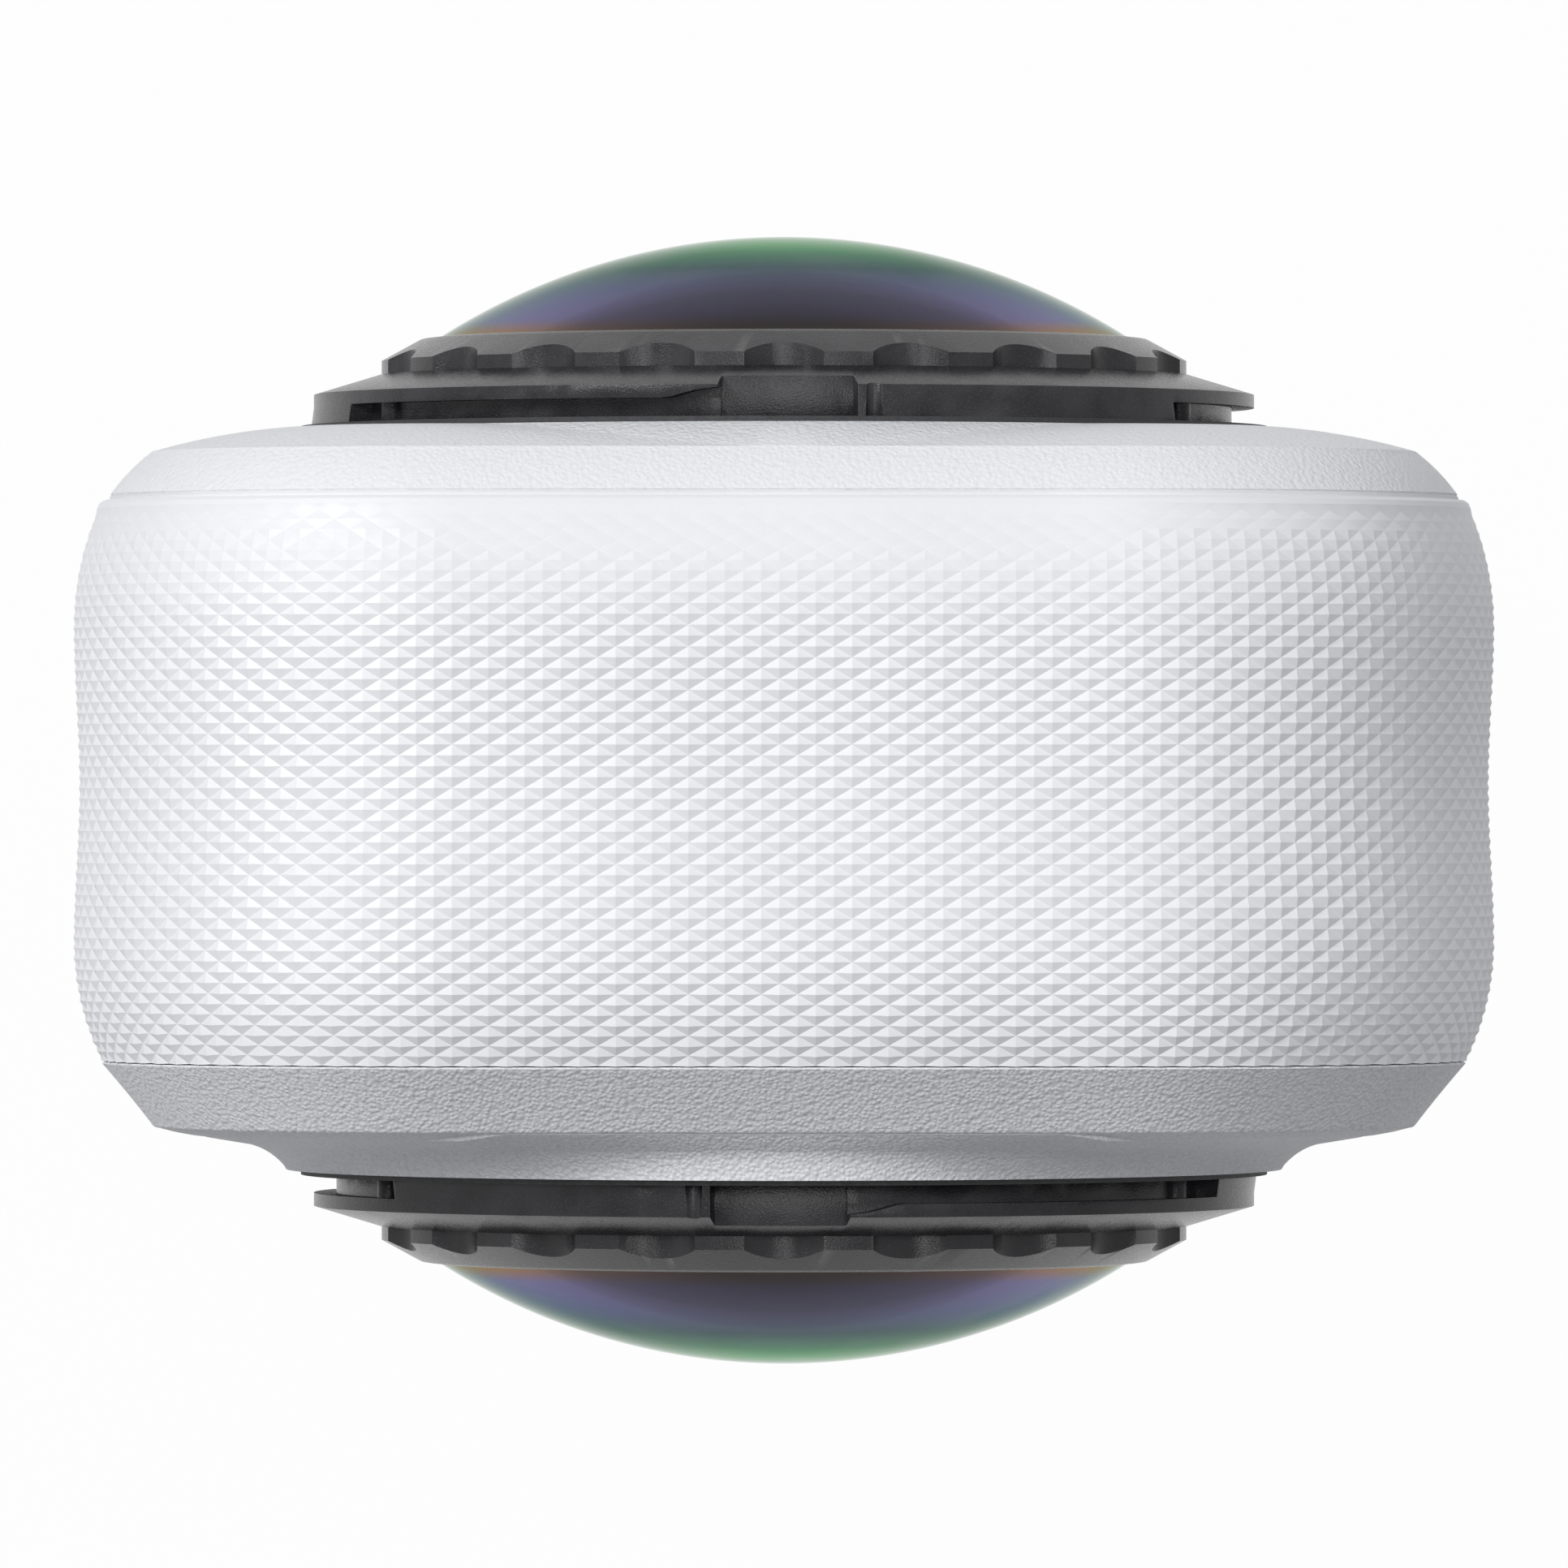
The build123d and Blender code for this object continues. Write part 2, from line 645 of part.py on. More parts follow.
# Rear cover: a chamfered shell with the screen window and two button holes.
rear = crowned((rear_edge_in, band_rear_y), (rear_brow_inset, band_rear_y - rear_brow_drop),
               (rear_crease_inset, rear_crease_y))
rear += crowned((rear_crease_inset, rear_crease_y), (rear_face_inset, rear_face_y))
rear -= slab(inner_inset, rear_inner_y, band_rear_y)
rear += band(spigot_inset, inner_inset, band_rear_y, rear_spigot_y)
for side in (-1, 1):
    rear += rod_y(side * (half_w - rear_post_inset), lens_z - rear_post_drop, boss_r, rear_inner_y,
                  -frame_plate_t / 2)
glass_x, glass_z = half_w - screen_inset, (screen_foot_z, screen_head_z)


def screen_plate(margin, y_from, y_to, corner_r):
    """A plate under or round the screen, larger than its glass by margin."""
    plate = block((-glass_x - margin, glass_x + margin), (y_from, y_to),
                  (glass_z[0] - margin, glass_z[1] + margin))
    return rounded(plate, Axis.Y, corner_r)


glass_back_y = rear_face_y + screen_glass_t
rear -= screen_plate(slip / 2, rear_face_y - overrun, glass_back_y, screen_corner_r)
rear -= screen_plate(-screen_ledge, glass_back_y, 0, screen_corner_r - screen_ledge)

# Lens boss of the rear cover: it flares out to the face, and at the top end slopes from the crease to its top edge.
boss = turned([(cover_hole_r, seat_y), (boss_top_r, seat_y), (boss_flare_r, -rear_face_y + boss_flare_rise),
               (boss_foot_r, -rear_face_y), (cover_hole_r, -rear_face_y)])
rear += to_rear(boss) & crowned((rear_crease_inset, rear_crease_y), (lens_drop - boss_top_r, -seat_y))
rear -= rod_y(0, lens_z, cover_hole_r, -width, 0)
parts["screen_glass"] = screen_plate(0, rear_face_y, glass_back_y, screen_corner_r)
parts["display_panel"] = screen_plate(-screen_ledge - slip, glass_back_y, glass_back_y + display_t,
                                      screen_corner_r - screen_ledge)

# Buttons under the screen, pressed towards the front, over one switch board.
rear_board_y = rear_switch_y + switch_t
rear_board = block((-rear_board_w / 2, rear_board_w / 2), (rear_board_y, rear_board_y + board_t),
                   (rear_button_z - rear_board_h / 2, rear_button_z + rear_board_h / 2))
for name, x, r in (("shutter_button", shutter_x, shutter_r), ("lens_switch_button", switcher_x, switcher_r)):
    cap = rod_y(x, rear_button_z, r - slip, rear_face_y - rear_button_proud, rear_inner_y)
    cap = fillet(cap.faces().sort_by(Axis.Y)[0].edges(), slip)
    flange_y_end = rear_inner_y + button_flange_t
    cap += rod_y(x, rear_button_z, r + button_flange, rear_inner_y, flange_y_end)
    cap += rod_y(x, rear_button_z, button_stem, flange_y_end, flange_y_end + button_stem / 2)
    parts[name] = cap
    rear -= rod_y(x, rear_button_z, r, -width, 0) & block((-width, width), (-width, rear_inner_y + slip), (0, height))
    rear_board += block((x - switch_w / 2, x + switch_w / 2), (rear_switch_y + slip / 3, rear_board_y),
                        (rear_button_z - switch_w / 2, rear_button_z + switch_w / 2))
parts["rear_cover"] = rear
parts["rear_switch_board"] = rear_board

# Lens collar: a flange with three guard slots under it, entry notches through it, and the lens unit's own groove.
collar = turned([
    (collar_bore_r, collar_top_y), (collar_top_r, collar_top_y), (flange_r, flange_y + flange_edge_t),
    (flange_r, flange_y), (flange_r + neck_draft, collar_seat_y), (collar_spigot_r, collar_seat_y), (collar_spigot_r, collar_foot_y),
    (collar_ledge_r, collar_foot_y), (collar_ledge_r, ledge_top_y), (collar_bore_r, ledge_top_y)])
lug_step = 360 / lug_count
lug_r = groove_r - lug_height_play * 2
for step in range(guard_count):
    turn = step * 360 / guard_count
    collar -= hoop(entry_floor_r, flange_r + overrun, collar_seat_y, collar_top_y,
                   entry_start + turn, entry_end - entry_start)
    collar -= hoop(slot_floor_r, flange_r + overrun, collar_seat_y, flange_y,
                   entry_end + turn, slot_end - entry_end)
for step in range(guard_count):
    turn = math.radians(slot_end - detent_before + step * 360 / guard_count)
    collar += rod_y(slot_floor_r * math.cos(turn), lens_z + slot_floor_r * math.sin(turn), detent_r,
                    collar_seat_y, flange_y)
for step in range(lug_count):
    start = lug_start - twist - lug_play + step * lug_step
    collar -= hoop(collar_bore_r - overrun / 5, groove_r, groove_low_y, groove_high_y,
                   start, twist + lug_angle + lug_play * 2)
    collar -= hoop(collar_bore_r - overrun / 5, groove_r, groove_high_y, collar_top_y,
                   start, lug_angle + lug_play * 2)
gasket = hoop(cover_hole_r, gasket_r, seat_y, collar_seat_y)

# Lens ring: finger scallops round the rim, a skirt with lugs below and a ledge for the dome.
skirt_r = collar_bore_r - ring_skirt_play
skirt_bore_r = skirt_r - ring_skirt_t
dome_bore_r = dome_r + ring_skirt_play
ring = turned([
    (dome_bore_r, dome_seat_y), (dome_bore_r, ring_lip_y), (ring_cone_r, ring_cone_y),
    (ring_r, collar_top_y + ring_side), (ring_r, collar_top_y), (skirt_r, collar_top_y),
    (skirt_r, ring_foot_y), (skirt_bore_r, ring_foot_y), (skirt_bore_r, ledge_low_y),
    (ledge_r, ledge_low_y), (ledge_r, dome_seat_y)])
scallop_reach = ring_r - scallop_depth + scallop_r
for step in range(scallop_count):
    turn = math.radians(first_scallop + step * 360 / scallop_count)
    ring -= rod_y(scallop_reach * math.cos(turn), lens_z + scallop_reach * math.sin(turn), scallop_r,
                  collar_top_y, ring_lip_y)
for step in range(lug_count):
    ring += hoop(skirt_r - ring_skirt_t / 2, lug_r, groove_low_y + lug_height_play,
                 groove_high_y - lug_height_play, lug_start + step * lug_step, lug_angle)

# Glass dome: two spheres that part towards the rim, ground flat where it sits in the ring.
dome_centre_y = dome_apex_y - dome_sphere_r
hollow_centre_y = dome_apex_y - dome_glass_t - dome_hollow_r
dome = Pos(0, dome_centre_y, lens_z) * Rot(90, 0, 0) * Sphere(dome_sphere_r)
dome &= rod_y(0, lens_z, dome_r, dome_seat_y, dome_apex_y + overrun)
dome -= Pos(0, hollow_centre_y, lens_z) * Rot(90, 0, 0) * Sphere(dome_hollow_r)
seal_ring = hoop(skirt_r - seal_wall, skirt_r - slip, ring_foot_y - seal_t, ring_foot_y)

# Inner optics: a barrel with a stop, the second element on its seat, its stepped retainer and a relay lens.
bore_r = barrel_r - barrel_wall
barrel = turned([
    (barrel_r, board_y), (barrel_r, barrel_top_y), (bore_r, barrel_top_y), (bore_r, element_seat_y),
    (throat_r, element_seat_y), (throat_r, throat_low_y), (stop_r, throat_low_y), (stop_r, stop_low_y),
    (sensor_bay_r, stop_low_y), (sensor_bay_r, board_y)])
rise = element_apex_y - element_edge_y
element_ball_r = (element_r ** 2 + rise ** 2) / (2 * rise)
element = rod_y(0, lens_z, element_r, element_seat_y, element_apex_y)
element &= Pos(0, element_apex_y - element_ball_r, lens_z) * Rot(90, 0, 0) * Sphere(element_ball_r)
step_y = [barrel_top_y + retainer_step * share for share in (0.4, 1.4, 2.2)]
element_gap = element_r + slip / 2
retainer = turned([
    (element_gap, element_seat_y), (retainer_r, element_seat_y), (retainer_r, step_y[0]),
    (retainer_step_r, step_y[0]), (retainer_step_r, step_y[1]), (retainer_lip_r, step_y[1]),
    (retainer_lip_r, step_y[2]), (element_gap, step_y[2])])
relay_r = throat_r - slip / 3
relay_ball_r = (relay_r ** 2 + relay_bulge ** 2) / (2 * relay_bulge)
relay_top_y = throat_low_y + relay_edge_t + relay_bulge
relay = rod_y(0, lens_z, relay_r, throat_low_y, relay_top_y)
relay &= Pos(0, relay_top_y - relay_ball_r, lens_z) * Rot(90, 0, 0) * Sphere(relay_ball_r)
sensor_board_x = half_w - screw_high_inset - screw_head_r - sensor_board_gap
sensor_board = block((-sensor_board_x, sensor_board_x), (frame_plate_t / 2, board_y),
                     (lens_z - sensor_board_h / 2, lens_z + sensor_board_h / 2))
sensor = block((-sensor_w / 2, sensor_w / 2), (board_y, board_y + sensor_t),
               (lens_z - sensor_h / 2, lens_z + sensor_h / 2))
lens_pieces = {
    "collar": collar, "collar_gasket": gasket, "lens_ring": ring, "lens_dome": dome, "lens_seal": seal_ring,
    "lens_barrel": barrel, "inner_element": element, "element_retainer": retainer, "relay_element": relay,
    "sensor_board": rounded(sensor_board, Axis.Y, post_r), "image_sensor": sensor}
for name, solid in lens_pieces.items():
    parts["front_" + name] = solid
    parts["rear_" + name] = to_rear(solid)

# Lens frame: one plate between the two sensors, screwed to the front cover.
plate = slab(wall + slip, -frame_plate_t / 2, frame_plate_t / 2)
plate &= block((-width, width), (-width, width), (frame_foot_z, height))
window_z = lens_z - sensor_board_h / 2 - frame_window_h / 2
plate -= rounded(block((-frame_window_w / 2, frame_window_w / 2), (-width, width),
                       (frame_foot_z + slip * 4, window_z + frame_window_h / 2 - slip * 4)), Axis.Y, slip * 4)
screws = []
for x, z in screw_places:
    plate -= rod_y(x, z, screw_r, -width, width)
    head = rod_y(x, z, screw_head_r, -frame_plate_t / 2 - screw_head_t, -frame_plate_t / 2)
    screws.append(head + rod_y(x, z, screw_r, -frame_plate_t / 2, front_inner_y - boss_r))
parts["lens_frame"] = plate
parts["lens_frame_screws"] = Compound(screws)

# Main board: processor under a pressed can, with a heat spreader over it.
board_z = (main_board_foot_z, main_board_head_z)
main_board_x = half_w - main_board_inset
main_board = block((-main_board_x, main_board_x), (main_board_y, main_board_y + board_t), board_z)
parts["main_board"] = main_board
can_y = (main_board_y + board_t, main_board_y + board_t + can_t)
can_middle_z = board_z[0] + (board_z[1] - board_z[0]) * can_share
can_z = (can_middle_z - can_h / 2, can_middle_z + can_h / 2)
can = block((-can_w / 2, can_w / 2), can_y, can_z)
can = rounded(can, Axis.Y, can_sheet * 3)
can -= block((-can_w / 2 + can_sheet, can_w / 2 - can_sheet), (can_y[0], can_y[1] - can_sheet),
             (can_z[0] + can_sheet, can_z[1] - can_sheet))
parts["shield_can"] = can
parts["processor"] = block((-processor_w / 2, processor_w / 2), (can_y[0], can_y[0] + processor_t),
                           (can_middle_z - processor_w / 2, can_middle_z + processor_w / 2))
parts["heat_spreader"] = rounded(block((-spreader_w / 2, spreader_w / 2), (can_y[1], can_y[1] + spreader_t),
                                       (board_z[0] + spreader_in_z, board_z[1] - spreader_in_z)), Axis.Y, post_r)

# Flat cable from the display, under the battery bay, to the main board.
flex_z = bay_z[0] - bay_wall - flex_gap
flex_back_y = glass_back_y + display_t
flex_x = (-flex_w / 2, flex_w / 2)
flex = block(flex_x, (flex_back_y, main_board_y), (flex_z - flex_t, flex_z))
flex += block(flex_x, (flex_back_y, flex_back_y + flex_t), (flex_z - flex_t, flex_z + flex_overlap))
flex += block(flex_x, (main_board_y - flex_t, main_board_y), (flex_z - flex_t, flex_z + flex_overlap))
parts["display_cable"] = flex

# Bottom end: the tripod socket stands in the band's lower wall.
tripod = Pos(0, battery_y, 0) * Cylinder(socket_r, socket_l, align=(Align.CENTER, Align.CENTER, Align.MIN))
tripod += Pos(0, battery_y, wall - foot_flat) * Cylinder(
    socket_flange_r, socket_flange_t, align=(Align.CENTER, Align.CENTER, Align.MIN))
tripod -= Pos(0, battery_y, 0) * Cylinder(thread_r, thread_l, align=(Align.CENTER, Align.CENTER, Align.MIN))
parts["tripod_socket"] = tripod

# Sound and radio pieces on the inside of the band.
inside_x = half_w - wall
parts["speaker"] = block((-inside_x, speaker_x - inside_x),
                         (speaker_y_mid - speaker_y / 2, speaker_y_mid + speaker_y / 2),
                         (speaker_foot_z, speaker_foot_z + speaker_z))
mic_box = block((inside_x - mic_x, inside_x), (middle_y - mic_y / 2, middle_y + mic_y / 2),
                (mic_at_z - mic_z / 2, mic_at_z + mic_z / 2))
parts["microphones"] = Compound([mic_box, mirrored_x(mic_box)])
antenna_x = half_w - top_corner_r - antenna_in_x
parts["antenna"] = block((-antenna_x, antenna_x), (frame_plate_t / 2 + slip, frame_plate_t / 2 + slip + antenna_y),
                         (height - wall - antenna_t, height - wall))

os.makedirs("parts", exist_ok=True)
for name, solid in parts.items():
    export_step(solid if isinstance(solid, Compound) else Compound([solid]), f"parts/{name}.step")
print(len(parts), "pieces")
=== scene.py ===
# %% [markdown]
# # A pocket camera that films all round
# The body is a slim stick with a domed lens on each side of its top end.
# We look straight down on that end, so the knurled grip band, the two covers and
# the two lens mounts fill the picture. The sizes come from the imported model, and
# this file dresses it: new meshes for what shows up close, materials for the rest.

# %% Load the model
import bpy
import json
import math
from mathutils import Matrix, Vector

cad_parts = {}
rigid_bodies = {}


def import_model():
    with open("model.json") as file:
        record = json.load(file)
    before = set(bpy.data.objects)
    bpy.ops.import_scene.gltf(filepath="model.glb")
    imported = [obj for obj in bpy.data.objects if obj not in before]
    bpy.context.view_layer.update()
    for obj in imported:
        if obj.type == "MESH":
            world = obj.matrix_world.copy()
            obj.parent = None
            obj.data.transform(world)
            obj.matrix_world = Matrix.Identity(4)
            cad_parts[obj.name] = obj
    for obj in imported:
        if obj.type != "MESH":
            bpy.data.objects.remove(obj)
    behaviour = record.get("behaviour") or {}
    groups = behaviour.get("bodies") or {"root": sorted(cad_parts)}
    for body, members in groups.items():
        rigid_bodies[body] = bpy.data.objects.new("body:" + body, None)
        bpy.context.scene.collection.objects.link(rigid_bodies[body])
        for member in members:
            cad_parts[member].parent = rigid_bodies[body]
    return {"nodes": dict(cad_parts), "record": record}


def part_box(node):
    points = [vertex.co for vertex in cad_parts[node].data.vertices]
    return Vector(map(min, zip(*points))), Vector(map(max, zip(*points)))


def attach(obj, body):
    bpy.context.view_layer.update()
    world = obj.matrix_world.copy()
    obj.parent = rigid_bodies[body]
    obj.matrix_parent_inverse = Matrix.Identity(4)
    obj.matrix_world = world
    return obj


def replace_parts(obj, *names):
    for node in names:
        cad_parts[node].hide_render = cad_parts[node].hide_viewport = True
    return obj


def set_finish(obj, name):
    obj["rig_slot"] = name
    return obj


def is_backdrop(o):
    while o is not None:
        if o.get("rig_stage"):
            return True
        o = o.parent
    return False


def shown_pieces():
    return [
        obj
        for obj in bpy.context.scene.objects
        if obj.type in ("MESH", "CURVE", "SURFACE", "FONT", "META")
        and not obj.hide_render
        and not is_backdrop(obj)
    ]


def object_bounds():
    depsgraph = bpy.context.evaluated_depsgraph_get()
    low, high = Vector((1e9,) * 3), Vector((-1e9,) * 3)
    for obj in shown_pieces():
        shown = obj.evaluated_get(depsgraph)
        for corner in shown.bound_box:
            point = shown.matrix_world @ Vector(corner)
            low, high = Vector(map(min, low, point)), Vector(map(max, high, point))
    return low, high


for leftover in list(bpy.data.objects):      # a new file's cube, lamp and camera
    bpy.data.objects.remove(leftover)
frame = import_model()
cad_low, cad_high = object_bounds()
MM = 0.001

# %% [markdown]
# ## Sizes that several pieces share
# Radii and depths are read from the model where a node's box gives them, so a
# dressed piece sits on what carries it. The lens axis is the middle of a dome.

# %% Places read from the model
def limits(node):
    """A node's lowest and highest corners, in millimetres."""
    low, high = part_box(node)
    return [c / MM for c in low], [c / MM for c in high]


dome_low, dome_high = limits("front_lens_dome")
LENS_Z = (dome_low[2] + dome_high[2]) / 2
DOME_TIP = dome_high[1]
BODY_W = (cad_high[0] - cad_low[0]) / MM
BODY_H = (cad_high[2] - cad_low[2]) / MM
HALF_W = BODY_W / 2
WAIST_Y = 0.5
print("lens axis at", round(LENS_Z, 2), "mm, dome tip at", round(DOME_TIP, 2), "mm")

# %% [markdown]
# ## Camera, lights and floor
# The photograph was taken from straight above with a long lens. Its width in
# pixels against the body's width in millimetres gives the distance. A big soft
# lamp at the upper left makes the front side bright and leaves the screen side in
# shade, as in the picture. The floor is white only to the camera's own rays.

# %% Camera
PHOTO_PX = 1932
PX_PER_MM = 37.5              # at the depth of the lens axis
VIEW_DISTANCE = 525.0         # from the lens axis, in millimetres
OBJECT_MIDDLE_PX = 986        # row of the picture on which the body's middle lies
SENSOR = 36.0
camera_data = bpy.data.cameras.new("photo_camera")
camera_data.sensor_width = SENSOR
camera_data.lens = SENSOR * PX_PER_MM * VIEW_DISTANCE / PHOTO_PX
camera_data.clip_start, camera_data.clip_end = 0.01, 10
camera = bpy.data.objects.new("photo_camera", camera_data)
bpy.context.scene.collection.objects.link(camera)
camera.location = (0, (OBJECT_MIDDLE_PX - PHOTO_PX / 2) / PX_PER_MM * MM, (LENS_Z + VIEW_DISTANCE) * MM)
bpy.context.scene.camera = camera
print("lens", round(camera_data.lens, 1), "mm")

# %% Lights
bpy.context.scene.view_settings.view_transform = "Standard"


def soft_lamp(name, place, size, power):
    """A square area lamp at place, in metres, turned to the lenses."""
    data = bpy.data.lights.new(name, "AREA")
    data.shape, data.size, data.energy = "SQUARE", size, power
    lamp = bpy.data.objects.new(name, data)
    bpy.context.scene.collection.objects.link(lamp)
    lamp.location = place
    lamp.rotation_euler = (Vector((0, 0, 0.09)) - Vector(place)).to_track_quat("-Z", "Y").to_euler()
    print(name, "gives", power, "W")


soft_lamp("key_lamp", (-0.62, 0.41, 0.80), 0.34, 6.4)
soft_lamp("fill_lamp", (0.60, 0.50, 0.60), 0.60, 1.5)
soft_lamp("top_lamp", (0.00, 0.12, 1.10), 0.40, 2.9)
soft_lamp("side_lamp", (-0.80, -0.10, 0.35), 0.50, 0.3)

# %% [markdown]
# ## A white room that doesn't wash out
# A white world would light the object from all sides and flatten the knurl. So the world
# has two backgrounds: a dim grey one that lights, and a white one that only the camera,
# mirrors and glass see. The floor uses the same switch and keeps a little of its shadow.

# %% White room
def seen_directly(tree):
    """1 for the camera's rays and for what glass and metal show of the background."""
    path = tree.nodes.new("ShaderNodeLightPath")
    total = path.outputs["Is Camera Ray"]
    for kind in ("Is Glossy Ray", "Is Transmission Ray"):
        add = tree.nodes.new("ShaderNodeMath")
        add.operation, add.use_clamp = "ADD", True
        tree.links.new(total, add.inputs[0])
        tree.links.new(path.outputs[kind], add.inputs[1])
        total = add.outputs[0]
    return total


def mixed(tree, factor, first, second, target):
    """Feeds target with a mix of two shaders."""
    mix = tree.nodes.new("ShaderNodeMixShader")
    tree.links.new(factor, mix.inputs["Fac"])
    tree.links.new(first, mix.inputs[1])
    tree.links.new(second, mix.inputs[2])
    tree.links.new(mix.outputs[0], target)


world = bpy.data.worlds.new("white_room")
bpy.context.scene.world = world
world.use_nodes = True
room = world.node_tree
room.nodes.clear()
room_light, room_white = room.nodes.new("ShaderNodeBackground"), room.nodes.new("ShaderNodeBackground")
room_light.inputs["Color"].default_value = (0.12, 0.125, 0.135, 1)
room_white.inputs["Color"].default_value = (1, 1, 1, 1)
room_surface = room.nodes.new("ShaderNodeOutputWorld").inputs["Surface"]
mixed(room, seen_directly(room), room_light.outputs[0], room_white.outputs[0], room_surface)
print("the room looks white and lights the object in a dim grey")

# %% Floor
FLOOR_WIDTH = 4
WHITE_SHARE = 0.98            # the rest is the lit floor, which carries the shadow
bpy.ops.mesh.primitive_plane_add(size=FLOOR_WIDTH, location=(0, 0, 0))
floor = bpy.context.object
floor.name = "pale_floor"
floor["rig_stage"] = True
floor_paint = bpy.data.materials.new("pale_floor")
floor_paint.use_nodes = True
floor_tree = floor_paint.node_tree
floor_shade = floor_tree.nodes["Principled BSDF"]
floor_shade.inputs["Base Color"].default_value = (0.42, 0.42, 0.43, 1)
floor_shade.inputs["Roughness"].default_value = 0.9
floor_white = floor_tree.nodes.new("ShaderNodeEmission")
white_part = floor_tree.nodes.new("ShaderNodeMath")
white_part.operation, white_part.inputs[1].default_value = "MULTIPLY", WHITE_SHARE
floor_tree.links.new(seen_directly(floor_tree), white_part.inputs[0])
mixed(floor_tree, white_part.outputs[0], floor_shade.outputs[0], floor_white.outputs[0],
      floor_tree.nodes["Material Output"].inputs["Surface"])
floor.data.materials.append(floor_paint)
print("floor is", FLOOR_WIDTH, "m wide")

# %% [markdown]
# ## Tools of this bench
# Most pieces here are turned or cut. A turned piece starts as one point that is
# extruded along its section and spun round the lens axis. A cut piece starts as a
# cube or cylinder and loses material to a Boolean. Each helper below does one of
# these jobs with the same operators that one would click by hand.

# %% Selecting, placing and cleaning
def start_mesh():
    """Leaves edit mode and deselects everything, so that an operator touches only the new piece."""
    if bpy.context.object and bpy.context.object.mode == "EDIT":
        bpy.ops.object.mode_set(mode="OBJECT")
    bpy.ops.object.select_all(action="DESELECT")


def active(obj):
    """Makes obj the only selected object."""
    start_mesh()
    obj.select_set(True)
    bpy.context.view_layer.objects.active = obj
    return obj


def rest_at_origin(obj):
    """Puts the object's place, turn and scale into its mesh."""
    active(obj)
    bpy.ops.object.transform_apply(location=True, rotation=True, scale=True)
    return obj


def apply_modifier(obj, kind, **settings):
    """Adds one modifier with the given settings and applies it."""
    active(obj)
    modifier = obj.modifiers.new(kind.lower(), kind)
    for key, value in settings.items():
        setattr(modifier, key, value)
    bpy.ops.object.modifier_apply(modifier=modifier.name)
    return obj


def clean(obj, merge_mm=0.002):
    """Merges doubles and turns all faces outwards."""
    active(obj)
    bpy.ops.object.mode_set(mode="EDIT")
    bpy.ops.mesh.select_all(action="SELECT")
    bpy.ops.mesh.remove_doubles(threshold=merge_mm * MM)
    bpy.ops.mesh.normals_make_consistent(inside=False)
    bpy.ops.object.mode_set(mode="OBJECT")
    return obj


def select_only(obj, kind, wanted):
    """Enters edit mode with exactly those edges or faces selected for which wanted() holds."""
    active(obj)
    bpy.ops.object.mode_set(mode="EDIT")
    bpy.ops.mesh.select_mode(type=kind)
    bpy.ops.mesh.select_all(action="DESELECT")
    bpy.ops.object.mode_set(mode="OBJECT")
    for part in obj.data.edges if kind == "EDGE" else obj.data.polygons:
        part.select = wanted(part)
    bpy.ops.object.mode_set(mode="EDIT")


print("the bench can select, place and clean")

# %% Blocks, rods and cuts
def runs_along(obj, axis):
    """A test that tells which of obj's edges run along one axis (0, 1 or 2)."""
    def test(edge):
        a, b = (obj.data.vertices[i].co for i in edge.vertices)
        return abs((b - a).normalized()[axis]) > 0.999

    return test


def round_edges(obj, axis, corner, segments):
    """Bevels the edges that run along one axis."""
    select_only(obj, "EDGE", runs_along(obj, axis))
    bpy.ops.mesh.bevel(offset=corner * MM, segments=segments)
    bpy.ops.object.mode_set(mode="OBJECT")
    return obj


def box(name, x, y, z, corner=0, axis=None, segments=6):
    """A cube between pairs of limits in millimetres, its edges along one axis rounded."""
    start_mesh()
    middle = [(pair[0] + pair[1]) / 2 * MM for pair in (x, y, z)]
    bpy.ops.mesh.primitive_cube_add(size=1, location=middle)
    obj = bpy.context.object
    obj.name = obj.data.name = name
    obj.scale = [(pair[1] - pair[0]) * MM for pair in (x, y, z)]
    rest_at_origin(obj)
    if corner:
        round_edges(obj, axis, corner, segments)
    return obj


TURN_FOR = {"x": (0, math.pi / 2, 0), "y": (math.pi / 2, 0, 0), "z": (0, 0, 0)}


def rod(name, axis, centre, r, length, sides=48):
    """A cylinder along x, y or z with its middle at centre, in millimetres."""
    start_mesh()
    bpy.ops.mesh.primitive_cylinder_add(vertices=sides, radius=r * MM, depth=length * MM,
                                        location=[c * MM for c in centre], rotation=TURN_FOR[axis])
    obj = bpy.context.object
    obj.name = obj.data.name = name
    return rest_at_origin(obj)


def join(name, objects):
    """One object from several."""
    start_mesh()
    for obj in objects:
        obj.select_set(True)
    bpy.context.view_layer.objects.active = objects[0]
    if len(objects) > 1:
        bpy.ops.object.join()
    objects[0].name = objects[0].data.name = name
    return objects[0]


def cut(obj, tool, how="DIFFERENCE"):
    """A Boolean of obj with tool, after which the tool is gone."""
    apply_modifier(obj, "BOOLEAN", object=tool, operation=how, solver="EXACT")
    bpy.data.objects.remove(tool)
    return obj


def copy_of(obj, name):
    """A copy with its own mesh."""
    twin = obj.copy()
    twin.data = obj.data.copy()
    twin.name = twin.data.name = name
    bpy.context.scene.collection.objects.link(twin)
    return twin


print("the bench can make blocks and rods and cut with them")

# %% [markdown]
# ## Turning
# Collars, rings, domes and the tripod socket are round, so each could be cut from a
# cylinder step by step. Spinning one section is quicker and gives clean rims, and the
# section reads like the drawing that a lathe would follow.

